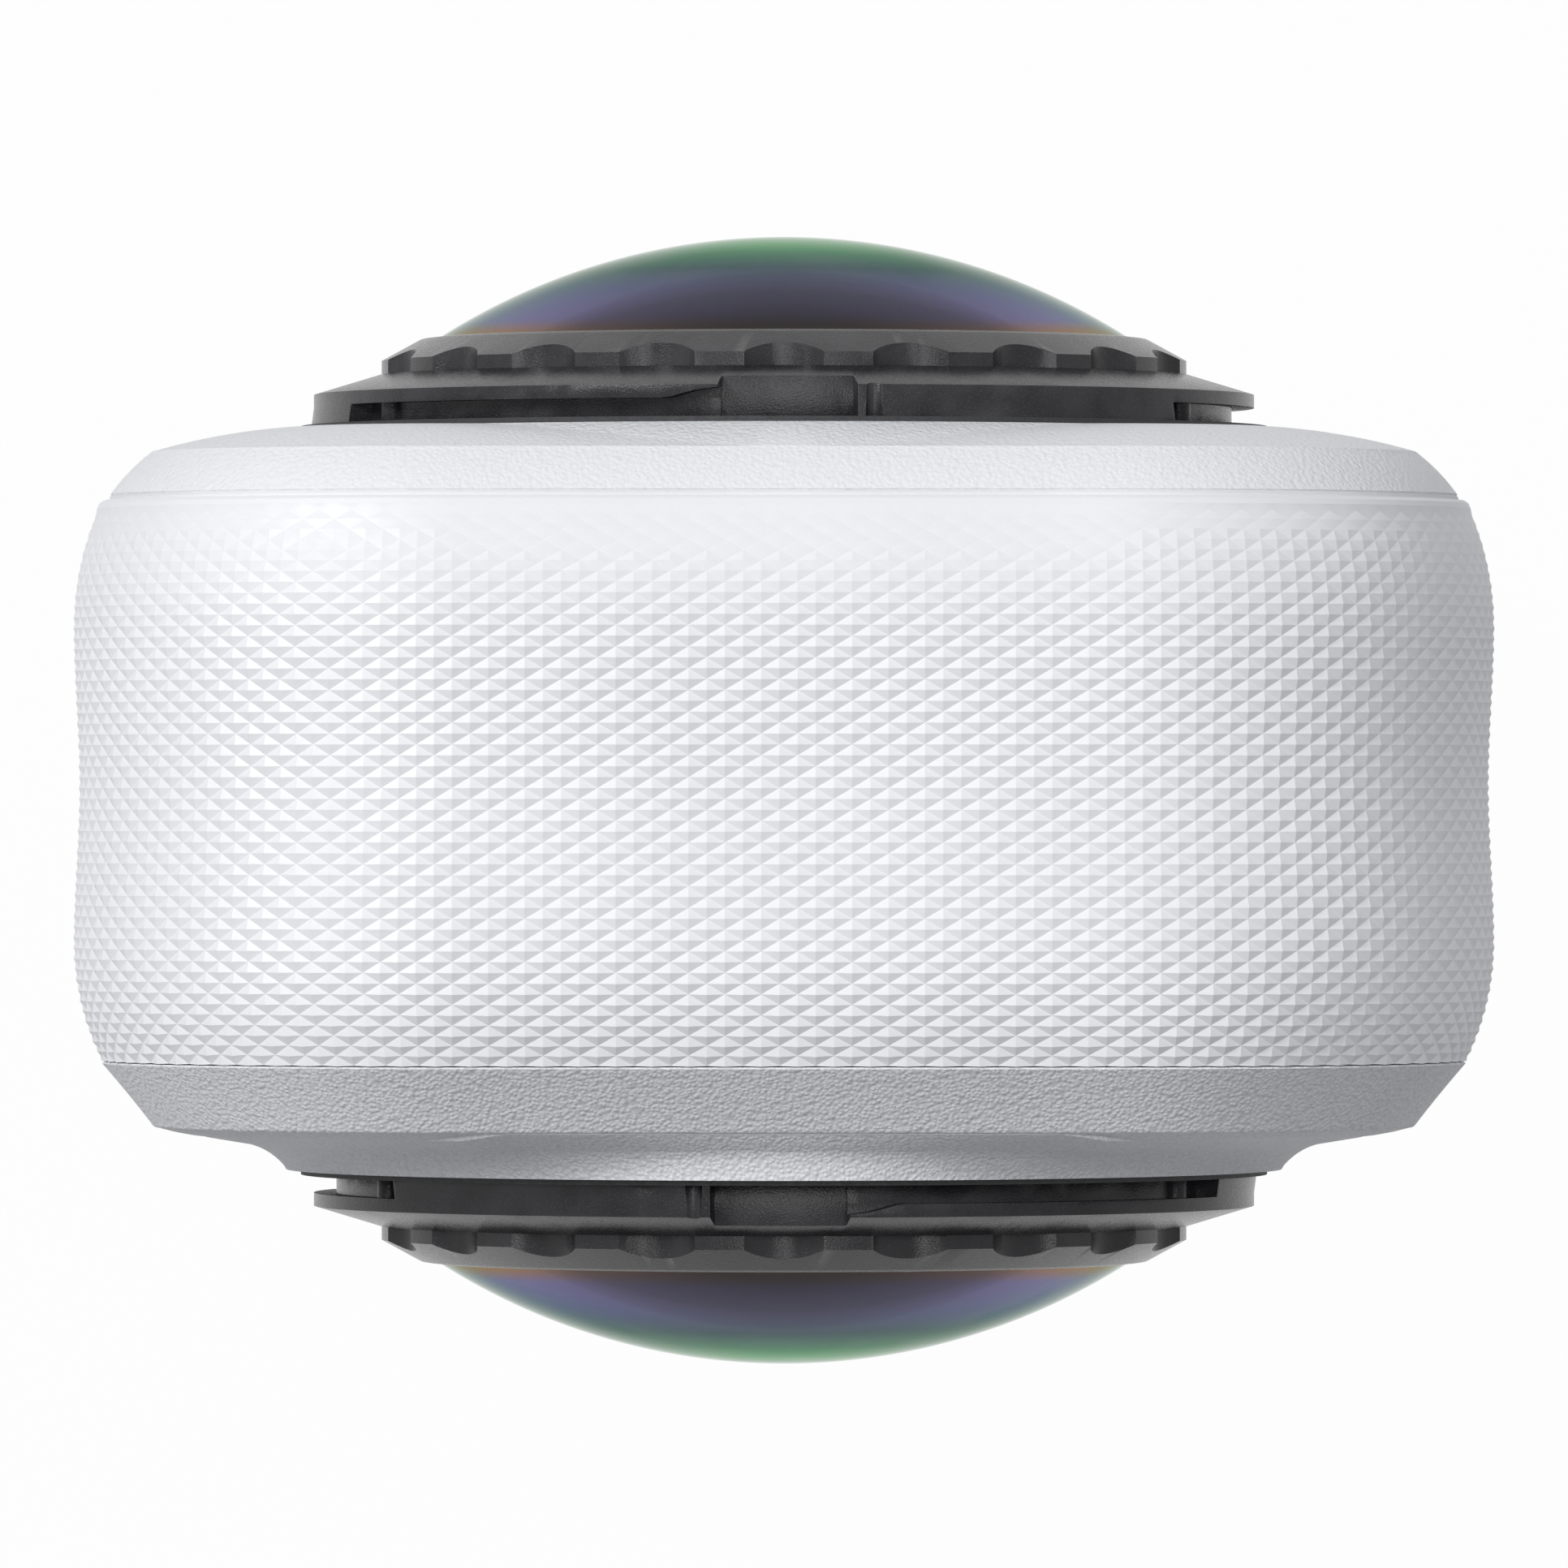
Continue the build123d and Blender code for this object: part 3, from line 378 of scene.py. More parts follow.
# %% Turned pieces
def turned(name, section, steps=120, closed=True, upright_y=None):
    """Spins a section of (radius, distance) points round the lens axis, or an upright one at depth upright_y.

    The section starts as a plane merged to a point, which is extruded from place to place.
    A closed section comes back to its first point; an open one starts and ends on the axis.
    """
    def laid(r, far, aside):
        """A radius, a distance along the axis and one across both (mm) as x, y and z in metres."""
        return (r * MM, far * MM, aside * MM) if upright_y is None else (r * MM, aside * MM, far * MM)

    axis_at = LENS_Z if upright_y is None else upright_y
    start_mesh()
    bpy.ops.mesh.primitive_plane_add(size=MM, location=laid(*section[0], axis_at))
    obj = rest_at_origin(bpy.context.object)
    obj.name = obj.data.name = name
    bpy.ops.object.mode_set(mode="EDIT")
    bpy.ops.mesh.select_mode(type="VERT")
    bpy.ops.mesh.select_all(action="SELECT")
    bpy.ops.mesh.merge(type="CENTER")
    path = section + section[:1] if closed else section
    for here, there in zip(path, path[1:]):
        step = laid(there[0] - here[0], there[1] - here[1], 0)
        bpy.ops.mesh.extrude_region_move(TRANSFORM_OT_translate={"value": step})
    bpy.ops.mesh.select_all(action="SELECT")
    axis = (0, 1, 0) if upright_y is None else (0, 0, 1)
    bpy.ops.mesh.spin(steps=steps, angle=2 * math.pi, center=laid(0, 0, axis_at), axis=axis)
    bpy.ops.object.mode_set(mode="OBJECT")
    return clean(obj)


def to_rear(obj, name):
    """The rear copy of a front lens piece: half a turn round the upright axis."""
    twin = active(copy_of(obj, name))
    bpy.ops.object.mode_set(mode="EDIT")
    bpy.ops.mesh.select_all(action="SELECT")
    bpy.ops.transform.rotate(value=math.pi, orient_axis="Z", center_override=(0, 0, 0))
    bpy.ops.object.mode_set(mode="OBJECT")
    return twin


print("the bench can turn pieces")

# %% Soft edges and smooth shading
def smooth(obj, angle=30):
    """Smooth shading across every edge that bends less than angle."""
    active(obj)
    bpy.ops.object.shade_smooth_by_angle(angle=math.radians(angle))
    return obj


def soften(obj, width_mm, segments=2, angle=30):
    """A small bevel on every edge sharper than angle, then smooth shading up to the same angle."""
    apply_modifier(obj, "BEVEL", width=width_mm * MM, segments=segments, limit_method="ANGLE",
                   angle_limit=math.radians(angle), harden_normals=False, use_clamp_overlap=True)
    return smooth(obj, angle)


print("bench is ready")

# %% [markdown]
# ## The outline and the band's section
# Everything on the body follows one rounded outline. A helper walks that outline and
# gives a point and its outward direction, and a second one wraps a flat grid round it:
# the grid's columns run along the outline and its rows down a section of
# (inset, depth) points. Rows that end on a loop are filled, so each shell is closed.

# %% Walk along the outline
TOP_R, FOOT_R, FOOT_FLAT = 12.5, 8.0, 0.3
STRETCHES = [  # length, start x, start z, heading in degrees, radius or None for a straight
    (BODY_W - 2 * TOP_R, TOP_R - HALF_W, BODY_H, 0, None),
    (math.pi / 2 * TOP_R, HALF_W - TOP_R, BODY_H, 0, TOP_R),
    (BODY_H - TOP_R - FOOT_R + FOOT_FLAT, HALF_W, BODY_H - TOP_R, -90, None),
    (math.pi / 2 * FOOT_R, HALF_W, FOOT_R - FOOT_FLAT, -90, FOOT_R),
    (BODY_W - 2 * FOOT_R, HALF_W - FOOT_R, -FOOT_FLAT, -180, None),
    (math.pi / 2 * FOOT_R, FOOT_R - HALF_W, -FOOT_FLAT, -180, FOOT_R),
    (BODY_H - TOP_R - FOOT_R + FOOT_FLAT, -HALF_W, FOOT_R - FOOT_FLAT, -270, None),
    (math.pi / 2 * TOP_R, -HALF_W, BODY_H - TOP_R, -270, TOP_R),
]
AROUND = sum(stretch[0] for stretch in STRETCHES)


def on_outline(s):
    """x, z and the outward direction at s millimetres along the outline, clockwise from the top left."""
    s %= AROUND
    for length, x, z, heading, r in STRETCHES:
        if s <= length:
            break
        s -= length
    turn = math.radians(heading)
    if r is None:
        return x + s * math.cos(turn), z + s * math.sin(turn), -math.sin(turn), math.cos(turn)
    middle_x, middle_z = x + r * math.sin(turn), z - r * math.cos(turn)
    turn -= s / r
    return middle_x - r * math.sin(turn), middle_z + r * math.cos(turn), -math.sin(turn), math.cos(turn)


def split_quads(obj, lattice, rows, quad_method, odd):
    """Splits every other quad of a grid's first rows along one diagonal."""
    def chosen(polygon):
        corners = [lattice[i] for i in polygon.vertices]
        return len(corners) == 4 and max(row for _, row in corners) <= rows and sum(corners[0]) % 2 == odd

    select_only(obj, "FACE", chosen)
    bpy.ops.mesh.quads_convert_to_tris(quad_method=quad_method)
    bpy.ops.object.mode_set(mode="OBJECT")


def wrapped(name, section, columns, lift=None, loop=False, split_rows=0):
    """A grid wrapped round the outline. section holds (inset, depth) rows.

    lift(column, row, s) gives the distance that a point is pushed along the section's own
    outward direction, which is None on rows that never move.
    """
    start_mesh()
    rows = len(section) - (0 if loop else 1)
    bpy.ops.mesh.primitive_grid_add(x_subdivisions=columns, y_subdivisions=rows, size=1)
    obj = bpy.context.object
    obj.name = obj.data.name = name
    lattice = [(round((v.co.x + 0.5) * columns), round((v.co.y + 0.5) * rows)) for v in obj.data.vertices]
    for vertex, (column, row) in zip(obj.data.vertices, lattice):
        row %= len(section)
        s = column * AROUND / columns
        x, z, out_x, out_z = on_outline(s)
        inset, depth = section[row][:2]
        if lift:
            push, across, along = lift(column, row, s)
            inset, depth = inset - push * across, depth + push * along
        vertex.co = ((x - inset * out_x) * MM, depth * MM, max(0, z - inset * out_z) * MM)
    if split_rows:
        for quad_method, odd in (("FIXED", 0), ("FIXED_ALTERNATE", 1)):
            split_quads(obj, lattice, split_rows, quad_method, odd)
    clean(obj, 0.0005)
    if not loop:
        active(obj)
        bpy.ops.object.mode_set(mode="EDIT")
        bpy.ops.mesh.select_mode(type="EDGE")
        bpy.ops.mesh.select_all(action="DESELECT")
        bpy.ops.mesh.select_non_manifold()
        bpy.ops.mesh.fill_holes(sides=0)
        bpy.ops.mesh.select_all(action="SELECT")
        bpy.ops.mesh.normals_make_consistent(inside=False)
        bpy.ops.object.mode_set(mode="OBJECT")
    return obj


def through(p, q, r, count):
    """count points after p on a smooth curve through p, q and r."""
    a, b = math.dist(p, q), math.dist(q, r)
    m = a / (a + b)
    points = []
    for k in range(1, count + 1):
        t = k / count
        weights = ((t - m) * (t - 1) / m, t * (t - 1) / (m * (m - 1)), t * (t - m) / (1 - m))
        points.append(tuple(sum(w * c[axis] for w, c in zip(weights, (p, q, r))) for axis in (0, 1)))
    return points


print("outline is", round(AROUND, 1), "mm round")

# %% [markdown]
# ## Knurled grip band
# The band is covered with small pyramids. Lattice points with an odd sum of row and
# column are peaks and the others are valleys, so that each quad is split from valley to
# valley. The pyramids fade out towards the front edge and stop short of every opening.

# %% Section of the band
WALL = 2.0
FRONT_Y, REAR_Y = 9.70, -8.42
FRONT_BULGE_Y, REAR_BULGE_Y, WAIST_DIP = 5.6, -4.6, 0.18
FRONT_BULGE_R, REAR_BULGE_R = 9.45, 8.5
EDGE_Y, EDGE_IN = 0.40, 0.22


def band_inset(y):
    """How far the band's face lies inside the outline at depth y."""
    if y > FRONT_Y - EDGE_Y:
        turned_in = FRONT_BULGE_R - math.sqrt(FRONT_BULGE_R ** 2 - (FRONT_Y - EDGE_Y - FRONT_BULGE_Y) ** 2)
        t = (y - FRONT_Y + EDGE_Y) / EDGE_Y
        return turned_in + t * 0.16 * EDGE_IN + t ** 4 * 0.84 * EDGE_IN
    if y > FRONT_BULGE_Y:
        return FRONT_BULGE_R - math.sqrt(FRONT_BULGE_R ** 2 - (y - FRONT_BULGE_Y) ** 2)
    if y < REAR_BULGE_Y:
        return REAR_BULGE_R - math.sqrt(REAR_BULGE_R ** 2 - (REAR_BULGE_Y - y) ** 2)
    middle = (FRONT_BULGE_Y + REAR_BULGE_Y) / 2
    t = abs(y - middle) / (FRONT_BULGE_Y - middle)
    return WAIST_DIP * (1 - 3 * t * t + 2 * t ** 3)


print("the waist is", WAIST_DIP, "mm deep on each side")

# %% Rows and columns of the knurl
PYRAMID_W, PYRAMID_L, PYRAMID_DEPTH = 1.15, 0.68, 0.100
COLUMNS = 2 * round(AROUND / PYRAMID_W)
FINE_STEPS = 2000
depths = [REAR_Y + (FRONT_Y - REAR_Y) * k / FINE_STEPS for k in range(FINE_STEPS + 1)]
fine = [(band_inset(y), y) for y in depths]
band_section, walked, here = [fine[0]], 0, fine[0]
for point in fine[1:]:
    walked += math.dist(here, point)
    here = point
    if walked >= PYRAMID_L / 2:
        band_section.append(point)
        walked = 0
edge_rows = [fine[-k] for k in (50, 30, 12, 1)]     # close together, to carry the soft front edge
band_section = [point for point in band_section if point[1] < FRONT_Y - 0.6] + edge_rows
OUTER_ROWS = len(band_section)
band_section += [(WALL, FRONT_Y), (WALL, REAR_Y)]
print(COLUMNS, "columns and", OUTER_ROWS, "rows on the outside")

# %% Openings in the band
CENTRE_Y = 0.55
DOOR_HALF, COVER_HALF = 4.5, 6.0                    # half of each leaf's breadth
DOOR_Y, COVER_Y = (CENTRE_Y - DOOR_HALF, CENTRE_Y + DOOR_HALF), (CENTRE_Y - COVER_HALF, CENTRE_Y + COVER_HALF)
DOOR_Z, COVER_Z = (17.04, 36.99), (20.4, 71.0)
BUTTON_Z, BUTTON_LONG, BUTTON_BROAD = (66.0, 52.0), 10.0, 4.4
MIC_Z, MIC_R = 73.6, 0.45
SPEAKER_Z, SPEAKER_R = [14.1 + 2.2 * k for k in (-1.5, -0.5, 0.5, 1.5)], 0.5
TRACK_HALF, TRACK_Z, TRACK_RIM = 2.65, (60.85, 69.55), 0.25
SOCKET_R = 4.75


def room_left(x, y, z, side_on):
    """Distance from the nearest edge of an opening, for the pyramids to stop in time."""
    def from_block(half_y, span_z):
        middle, half_z = (span_z[0] + span_z[1]) / 2, (span_z[1] - span_z[0]) / 2
        return max(abs(y - CENTRE_Y) - half_y, abs(z - middle) - half_z)

    spots = []
    if side_on and x > 0:
        spots.append(abs(from_block(DOOR_HALF, DOOR_Z)))
        for button_z in BUTTON_Z:
            past = max(0, abs(z - button_z) - (BUTTON_LONG - BUTTON_BROAD) / 2)
            spots.append(math.hypot(y - WAIST_Y, past) - BUTTON_BROAD / 2)
    if side_on and x < 0:
        spots.append(abs(from_block(COVER_HALF, COVER_Z)))
        spots.append(from_block(TRACK_HALF, TRACK_Z) - TRACK_RIM)
        spots += [math.hypot(y - WAIST_Y, z - hole_z) - SPEAKER_R for hole_z in SPEAKER_Z]
    if side_on:
        spots.append(math.hypot(y - WAIST_Y, z - MIC_Z) - MIC_R)
    if z < 1:
        spots.append(math.hypot(x, y - CENTRE_Y) - SOCKET_R)
    return min(spots) if spots else 99


print("the port door is", round(DOOR_Z[1] - DOOR_Z[0], 2), "mm high")

# %% Pyramids
SMOOTH_EDGE, FADE, FADE_START = 0.35, 4.2, 0.35     # the pattern grows from 0.35 of its depth to all of it
MARGIN, EASE = 0.45, 0.3                            # flat rim of an opening, and the pyramids' rise beyond it


def knurl(column, row, s):
    """Push of a lattice point: none on a peak, a full depth on a valley."""
    if row >= OUTER_ROWS:
        return 0, 0, 0
    _, y = band_section[row]
    x, z, out_x, _ = on_outline(s)
    behind = FRONT_Y - SMOOTH_EDGE - y
    fade = min(1, FADE_START + (1 - FADE_START) * behind / FADE) if behind > 0 else 0
    fade *= min(1, max(0, room_left(x, y, z, abs(out_x) > 0.98) - MARGIN) / EASE)
    slope = (band_inset(min(y + 0.02, FRONT_Y)) - band_inset(max(y - 0.02, REAR_Y))) / 0.04
    across = 1 / math.hypot(1, slope)
    depth = PYRAMID_DEPTH * fade if (column + row) % 2 == 0 else 0
    return -depth, across, slope * across


knurled = wrapped("grip_blank", band_section, COLUMNS, knurl, loop=True, split_rows=OUTER_ROWS - 1)
blank = smooth(knurled, 12)
print("blank has", len(blank.data.polygons), "faces")

# %% [markdown]
# ## Cut the openings, the port door and the battery cover
# One blank gives three pieces: what lies inside the door's outline becomes the port
# door, what lies inside the cover's outline becomes the battery cover, and the rest is
# the band. Leaves are cut with tools that are a slip smaller than the holes.

# %% Cutting tools for the band
REACH, CORNER, SLIP = 6.0, 1.5, 0.15


def leaf_tool(side, y, z, gap=0.0):
    """A rounded block through the wall on one side, larger all round by gap."""
    x = (HALF_W - WALL - 0.6, HALF_W + REACH) if side > 0 else (-HALF_W - REACH, WALL + 0.6 - HALF_W)
    return box("tool", x, (y[0] - gap, y[1] + gap), (z[0] - gap, z[1] + gap), CORNER + gap, 0)


def pill(name, z, length, breadth, x, y=WAIST_Y):
    """An upright pill across the width between two x limits."""
    return box(name, x, (y - breadth / 2, y + breadth / 2), (z - length / 2, z + length / 2),
               breadth / 2 - 0.001, 0, 16)


print("leaves get a gap of", SLIP, "mm all round")

# %% Part the leaves from the band
HINGE_R = 0.85
HINGE_X, HINGE_Z = HALF_W - HINGE_R, DOOR_Z[0] + HINGE_R + 0.0015
TONGUE_X, TONGUE_Y, TONGUE_TOP = (-22.595, -21.845), (CENTRE_Y - 1.65, CENTRE_Y + 1.65), 72.55
door_tool = leaf_tool(1, DOOR_Y, (DOOR_Z[0] + HINGE_R, DOOR_Z[1]))
door = cut(copy_of(blank, "usb_door_leaf"), door_tool, "INTERSECT")
cover = cut(copy_of(blank, "battery_cover_leaf"), leaf_tool(-1, COVER_Y, COVER_Z), "INTERSECT")
tools = [leaf_tool(1, DOOR_Y, DOOR_Z, SLIP), leaf_tool(-1, COVER_Y, COVER_Z, SLIP)]
tools += [pill("hole", z, BUTTON_LONG, BUTTON_BROAD, (HALF_W - WALL - 1, HALF_W + 2)) for z in BUTTON_Z]
tools += [rod("hole", "x", (-HALF_W, WAIST_Y, z), SPEAKER_R, 6, 24) for z in SPEAKER_Z]
tools += [rod("hole", "x", (side * HALF_W, WAIST_Y, MIC_Z), MIC_R, 6, 24) for side in (-1, 1)]
tools += [rod("hole", "z", (0, CENTRE_Y, 0), SOCKET_R, 8, 64)]
band = cut(blank, join("tools", tools))
band = cut(band, box("pocket", TONGUE_X, TONGUE_Y, (70.0, TONGUE_TOP)))
for piece in (band, door, cover):
    smooth(piece, 12)
    print(piece.name, "has", len(piece.data.polygons), "faces")

# %% [markdown]
# ## Port door, battery cover and the port's well
# The door turns on a pin at its foot, so its leaf ends in a round knuckle. The battery
# cover has a track that the latch slides in. Behind the door lies a well with the
# port's mouth. Each is a few Booleans on the leaf that was parted from the blank.

# %% Hinge and nail nick of the port door
INNER_X = HALF_W - WALL + 0.3
hinge = rod("hinge", "y", (HINGE_X, CENTRE_Y, HINGE_Z), HINGE_R, 2 * DOOR_HALF)
door = cut(door, box("back", (HALF_W - WALL - 1, INNER_X), (-9, 9), (10, 45)))
door = cut(door, hinge, "UNION")
door = cut(door, rod("pin", "y", (HINGE_X, CENTRE_Y, HINGE_Z), 0.46, 12, 24))
door = cut(door, rod("nail", "y", (HALF_W, CENTRE_Y, DOOR_Z[1]), 0.6, 4.5, 24))
smooth(door, 12)
print("door leaf is", round(HALF_W - INNER_X, 2), "mm thick")

# %% Track of the latch in the battery cover
cover = cut(cover, box("back", (-INNER_X, WALL + 1 - HALF_W), (-9, 9), (10, 80)))
track_y = (CENTRE_Y - TRACK_HALF, CENTRE_Y + TRACK_HALF)
cover = cut(cover, box("track", (-HALF_W - 1, -21.895), track_y, TRACK_Z))
cover = cut(cover, box("channel", TONGUE_X, TONGUE_Y, (61.0, TONGUE_TOP)))
smooth(cover, 12)
print("battery cover has", len(cover.data.polygons), "faces")

# %% Well round the port
PORT_Z, MOUTH_LONG, MOUTH_BROAD = 27.5165, 9.15, 3.35
well = box("usb_port_well", (19.3, 21.1), (-5.5, 6.6), (15.69, 38.24))
well = cut(well, box("room", (20.4, 22), (-4.1, 5.2), (16.79, 37.14), 1.2, 0))
well = soften(cut(well, pill("mouth", PORT_Z, MOUTH_LONG, MOUTH_BROAD, (18, 22), CENTRE_Y)), 0.12, 2)
for piece, node, body in ((band, ("grip_frame", "grip_foot"), "camera"), (door, ("usb_door",), "usb_door"),
                          (cover, ("battery_cover",), "battery")):
    piece.name = piece.data.name = "knurled_" + node[0]
    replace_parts(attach(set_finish(piece, "grip_band"), body), *node)
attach(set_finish(well, "grip_band"), "camera")
print("band, door, cover and well are in place")

# %% [markdown]
# ## Front and rear covers
# Both covers are shells wrapped on the same outline. The front one rises in a soft brow
# and a crowned slope to the flat that carries the lens mount. The rear one has a wide
# chamfer and a boss that flares up to the second lens mount.

# %% Front cover
SHELL_COLUMNS = 240
SPIGOT_IN, INNER_IN = 2.15, 3.2
FLAT_IN, FLAT_Y = 7.4, 12.10                        # where the crowned slope meets the lens flat
front_section = [(FLAT_IN, 10.55), (INNER_IN, 10.55), (INNER_IN, 7.2), (SPIGOT_IN, 7.2), (SPIGOT_IN, 9.84)]
front_section += [(1.26, 9.84), (1.2, 9.9)] + through((1.2, 9.9), (1.78, 10.60), (2.50, 11.25), 8)
front_section += through((2.50, 11.25), (2.52, 11.272), (2.56, 11.285), 3)
front_section += through((2.56, 11.285), (4.5, 11.75), (FLAT_IN, FLAT_Y), 12)
front = wrapped("front_cover_shell", front_section, SHELL_COLUMNS)
seat_section = [(13.5, FLAT_Y), (15.92, FLAT_Y), (17.56, 11.29), (17.56, 10.7), (13.5, 10.7)]
seat = turned("seat", seat_section, 160)
seat = cut(seat, wrapped("trim", [(2.54, 10.0), (2.54, 11.28), (2.9, 12.5)], SHELL_COLUMNS), "INTERSECT")
front = cut(front, seat, "UNION")
front = cut(front, rod("lens_hole", "y", (0, 10, LENS_Z), 14.0, 12, 120))
front = cut(front, rod("light_hole", "y", (0, 10, 74.6), 0.8, 12, 32))
smooth(front, 28)
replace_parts(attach(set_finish(front, "front_shell"), "camera"), "front_cover")
print("front cover has", len(front.data.polygons), "faces")

# %% [markdown]
# ## Seal
# A grey seal fills the groove between the band and the front cover. It could be a
# swept round cord, but only its outer lip shows, so a small ring with broken corners is
# wrapped round the outline like the covers.

# %% Seal in the groove
GASKET = [(2.1, 9.5), (1.24, 9.5), (1.17, 9.62), (1.17, 9.80), (1.24, 9.87), (2.1, 9.87)]
gasket = wrapped("front_gasket_dressed", GASKET, SHELL_COLUMNS, loop=True)
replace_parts(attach(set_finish(smooth(gasket, 60), "gasket_grey"), "camera"), "front_gasket")
print("seal has", len(gasket.data.polygons), "faces")

# %% [markdown]
# ## Rear cover
# The rear cover has a wide grained chamfer, a flat for the screen and a boss that flares
# up to the lens mount. Near the body's sides the flare runs into the chamfer's crease. A
# turned boss would stick out there, so its foot is drawn in to the crease, direction by
# direction, before both are united.

# %% Rear shell
SCREEN_X, SCREEN_Z, SCREEN_CORNER = (-18.2, 18.2), (17.0, 73.0), 3.0
REAR_FACE_Y, REAR_INNER_Y, GLASS_BACK_Y = -10.83, -9.28, -9.73
rear_section = [(6.0, REAR_INNER_Y), (INNER_IN, REAR_INNER_Y), (INNER_IN, -6.2), (SPIGOT_IN, -6.2)]
rear_section += [(SPIGOT_IN, -8.44), (1.0, -8.44), (0.93, -8.5)]
rear_section += through((0.93, -8.5), (1.75, -9.47), (2.55, -10.48), 8)
rear_section += through((2.55, -10.48), (2.6, -10.54), (2.7, -10.565), 3)
rear_section += through((2.7, -10.565), (3.96, REAR_FACE_Y + 0.004), (6.0, REAR_FACE_Y), 6)
rear = wrapped("rear_cover_shell", rear_section, SHELL_COLUMNS)
print("rear shell has", len(rear.data.polygons), "faces")

# %% Flare of the lens boss
def arc(p, q, bulge, count):
    """Points after p up to q on a circle that stands bulge off the chord's middle, to the left of p to q."""
    (ax, ay), (bx, by) = p, q
    chord = math.hypot(bx - ax, by - ay)
    r = (chord * chord / 4 + bulge * bulge) / (2 * abs(bulge))
    side = 1 if bulge > 0 else -1
    nx, ny = -(by - ay) / chord * side, (bx - ax) / chord * side
    cx, cy = (ax + bx) / 2 - nx * (r - abs(bulge)), (ay + by) / 2 - ny * (r - abs(bulge))
    start, sweep = math.atan2(ay - cy, ax - cx), 2 * math.asin(min(1, chord / 2 / r))
    turn = -side * sweep
    return [(cx + r * math.cos(start + turn * k / count), cy + r * math.sin(start + turn * k / count))
            for k in range(1, count + 1)]


def to_edge(turn, inset):
    """Distance from the lens axis to the outline's inset line in the direction turn."""
    low, high = 10.0, 30.0
    for _ in range(30):
        r = (low + high) / 2
        x, z = abs(r * math.cos(turn)), LENS_Z + r * math.sin(turn)
        off_x, off_z = x - (HALF_W - TOP_R), z - (BODY_H - TOP_R)
        inside = max(off_x, off_z) if min(off_x, off_z) < 0 else math.hypot(off_x, off_z)
        low, high = (r, high) if inside < TOP_R - inset else (low, r)
    return low


FLARE_FOOT, FLARE_TOP = 19.8, 16.35
boss_section = [(13.0, 10.0), (FLARE_FOOT, 10.0), (FLARE_FOOT, 10.83), (19.0, 11.02), (17.9, 11.2)]
boss_section += arc((17.9, 11.2), (16.42, 11.98), 0.16, 8) + [(FLARE_TOP, FLAT_Y), (13.0, FLAT_Y)]
boss = turned("boss", boss_section, 240)
for vertex in boss.data.vertices:
    x, y, z = vertex.co.x / MM, vertex.co.y / MM, vertex.co.z / MM - LENS_Z
    r, turn = math.hypot(x, z), math.atan2(z, x)
    if r > FLARE_TOP + 0.001:                       # the foot follows the cover's crease where that is nearer
        edge_r = to_edge(turn, 2.75)
        foot = -math.log(math.exp(-4 * edge_r) + math.exp(-4 * FLARE_FOOT)) / 4
        near = min(1, max(0, (FLARE_FOOT + 0.5 - edge_r) / 0.8))
        share = (r - FLARE_TOP) / (FLARE_FOOT - FLARE_TOP)
        new_r = FLARE_TOP + (foot - FLARE_TOP) * share
        if y > 10.5:
            y -= 0.22 * near * share
        vertex.co = (new_r * math.cos(turn) * MM, y * MM, (LENS_Z + new_r * math.sin(turn)) * MM)
rear_boss = to_rear(boss, "rear_boss")
bpy.data.objects.remove(boss)
print("boss is", round(2 * FLARE_TOP, 1), "mm across its top")

# %% Openings of the rear cover
BUTTONS = (("shutter_button", -6.6, 4.5), ("lens_switch_button", 6.8, 3.3))     # node, x and hole radius
BUTTONS_Z, GLASS_GAP = 9.6, 0.075
rear = cut(rear, rear_boss, "UNION")
rear = cut(rear, rod("lens_hole", "y", (0, -11, LENS_Z), 14.0, 8, 120))
hole_x, hole_z = [(span[0] - GLASS_GAP, span[1] + GLASS_GAP) for span in (SCREEN_X, SCREEN_Z)]
rear = cut(rear, box("glass_hole", hole_x, (-14, GLASS_BACK_Y), hole_z, SCREEN_CORNER, 1))
rear = cut(rear, box("panel_hole", (-17.4, 17.4), (-14, 0), (17.8, 72.2), 2.2, 1))
for node, x, r in BUTTONS:
    rear = cut(rear, rod("button_hole", "y", (x, -11, BUTTONS_Z), r, 6, 64))
smooth(rear, 28)
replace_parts(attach(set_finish(rear, "rear_shell"), "camera"), "rear_cover")
print("rear cover has", len(rear.data.polygons), "faces")

# %% [markdown]
# ## Lens mounts
# Each mount is a collar with three bayonet slots, and a ring with twenty finger
# scallops that carries the glass dome. They are turned from their sections, cut with
# sector tools and scallop rods, and get small bevels so that their edges catch light.

# %% Tools that go round the lens axis
def sectors(name, inner_r, outer_r, low_y, high_y, spans, rise=0):
    """Part-rings round the lens axis, one for each (start, sweep) in degrees from +X towards +Z.

    Each is a cube that is subdivided along its length and bent round the axis, about 3 degrees a step.
    rise lifts the upper side at its start, with a soft slope to nothing at its end.
    """
    parts = []
    for start, sweep in spans:
        start_mesh()
        bpy.ops.mesh.primitive_cube_add(size=1)
        part = bpy.context.object
        steps = max(3, round(sweep / 3))
        select_only(part, "EDGE", runs_along(part, 0))
        bpy.ops.mesh.subdivide(number_cuts=steps - 1)
        bpy.ops.object.mode_set(mode="OBJECT")
        for vertex in part.data.vertices:
            k = round((vertex.co.x + 0.5) * steps)
            turn = math.radians(start + sweep * k / steps)
            r = inner_r if vertex.co.y < 0 else outer_r
            y = low_y if vertex.co.z < 0 else high_y + rise * (1 + math.cos(math.pi * k / steps)) / 2
            vertex.co = (r * math.cos(turn) * MM, y * MM, (LENS_Z + r * math.sin(turn)) * MM)
        parts.append(part)
    return clean(join(name, parts))


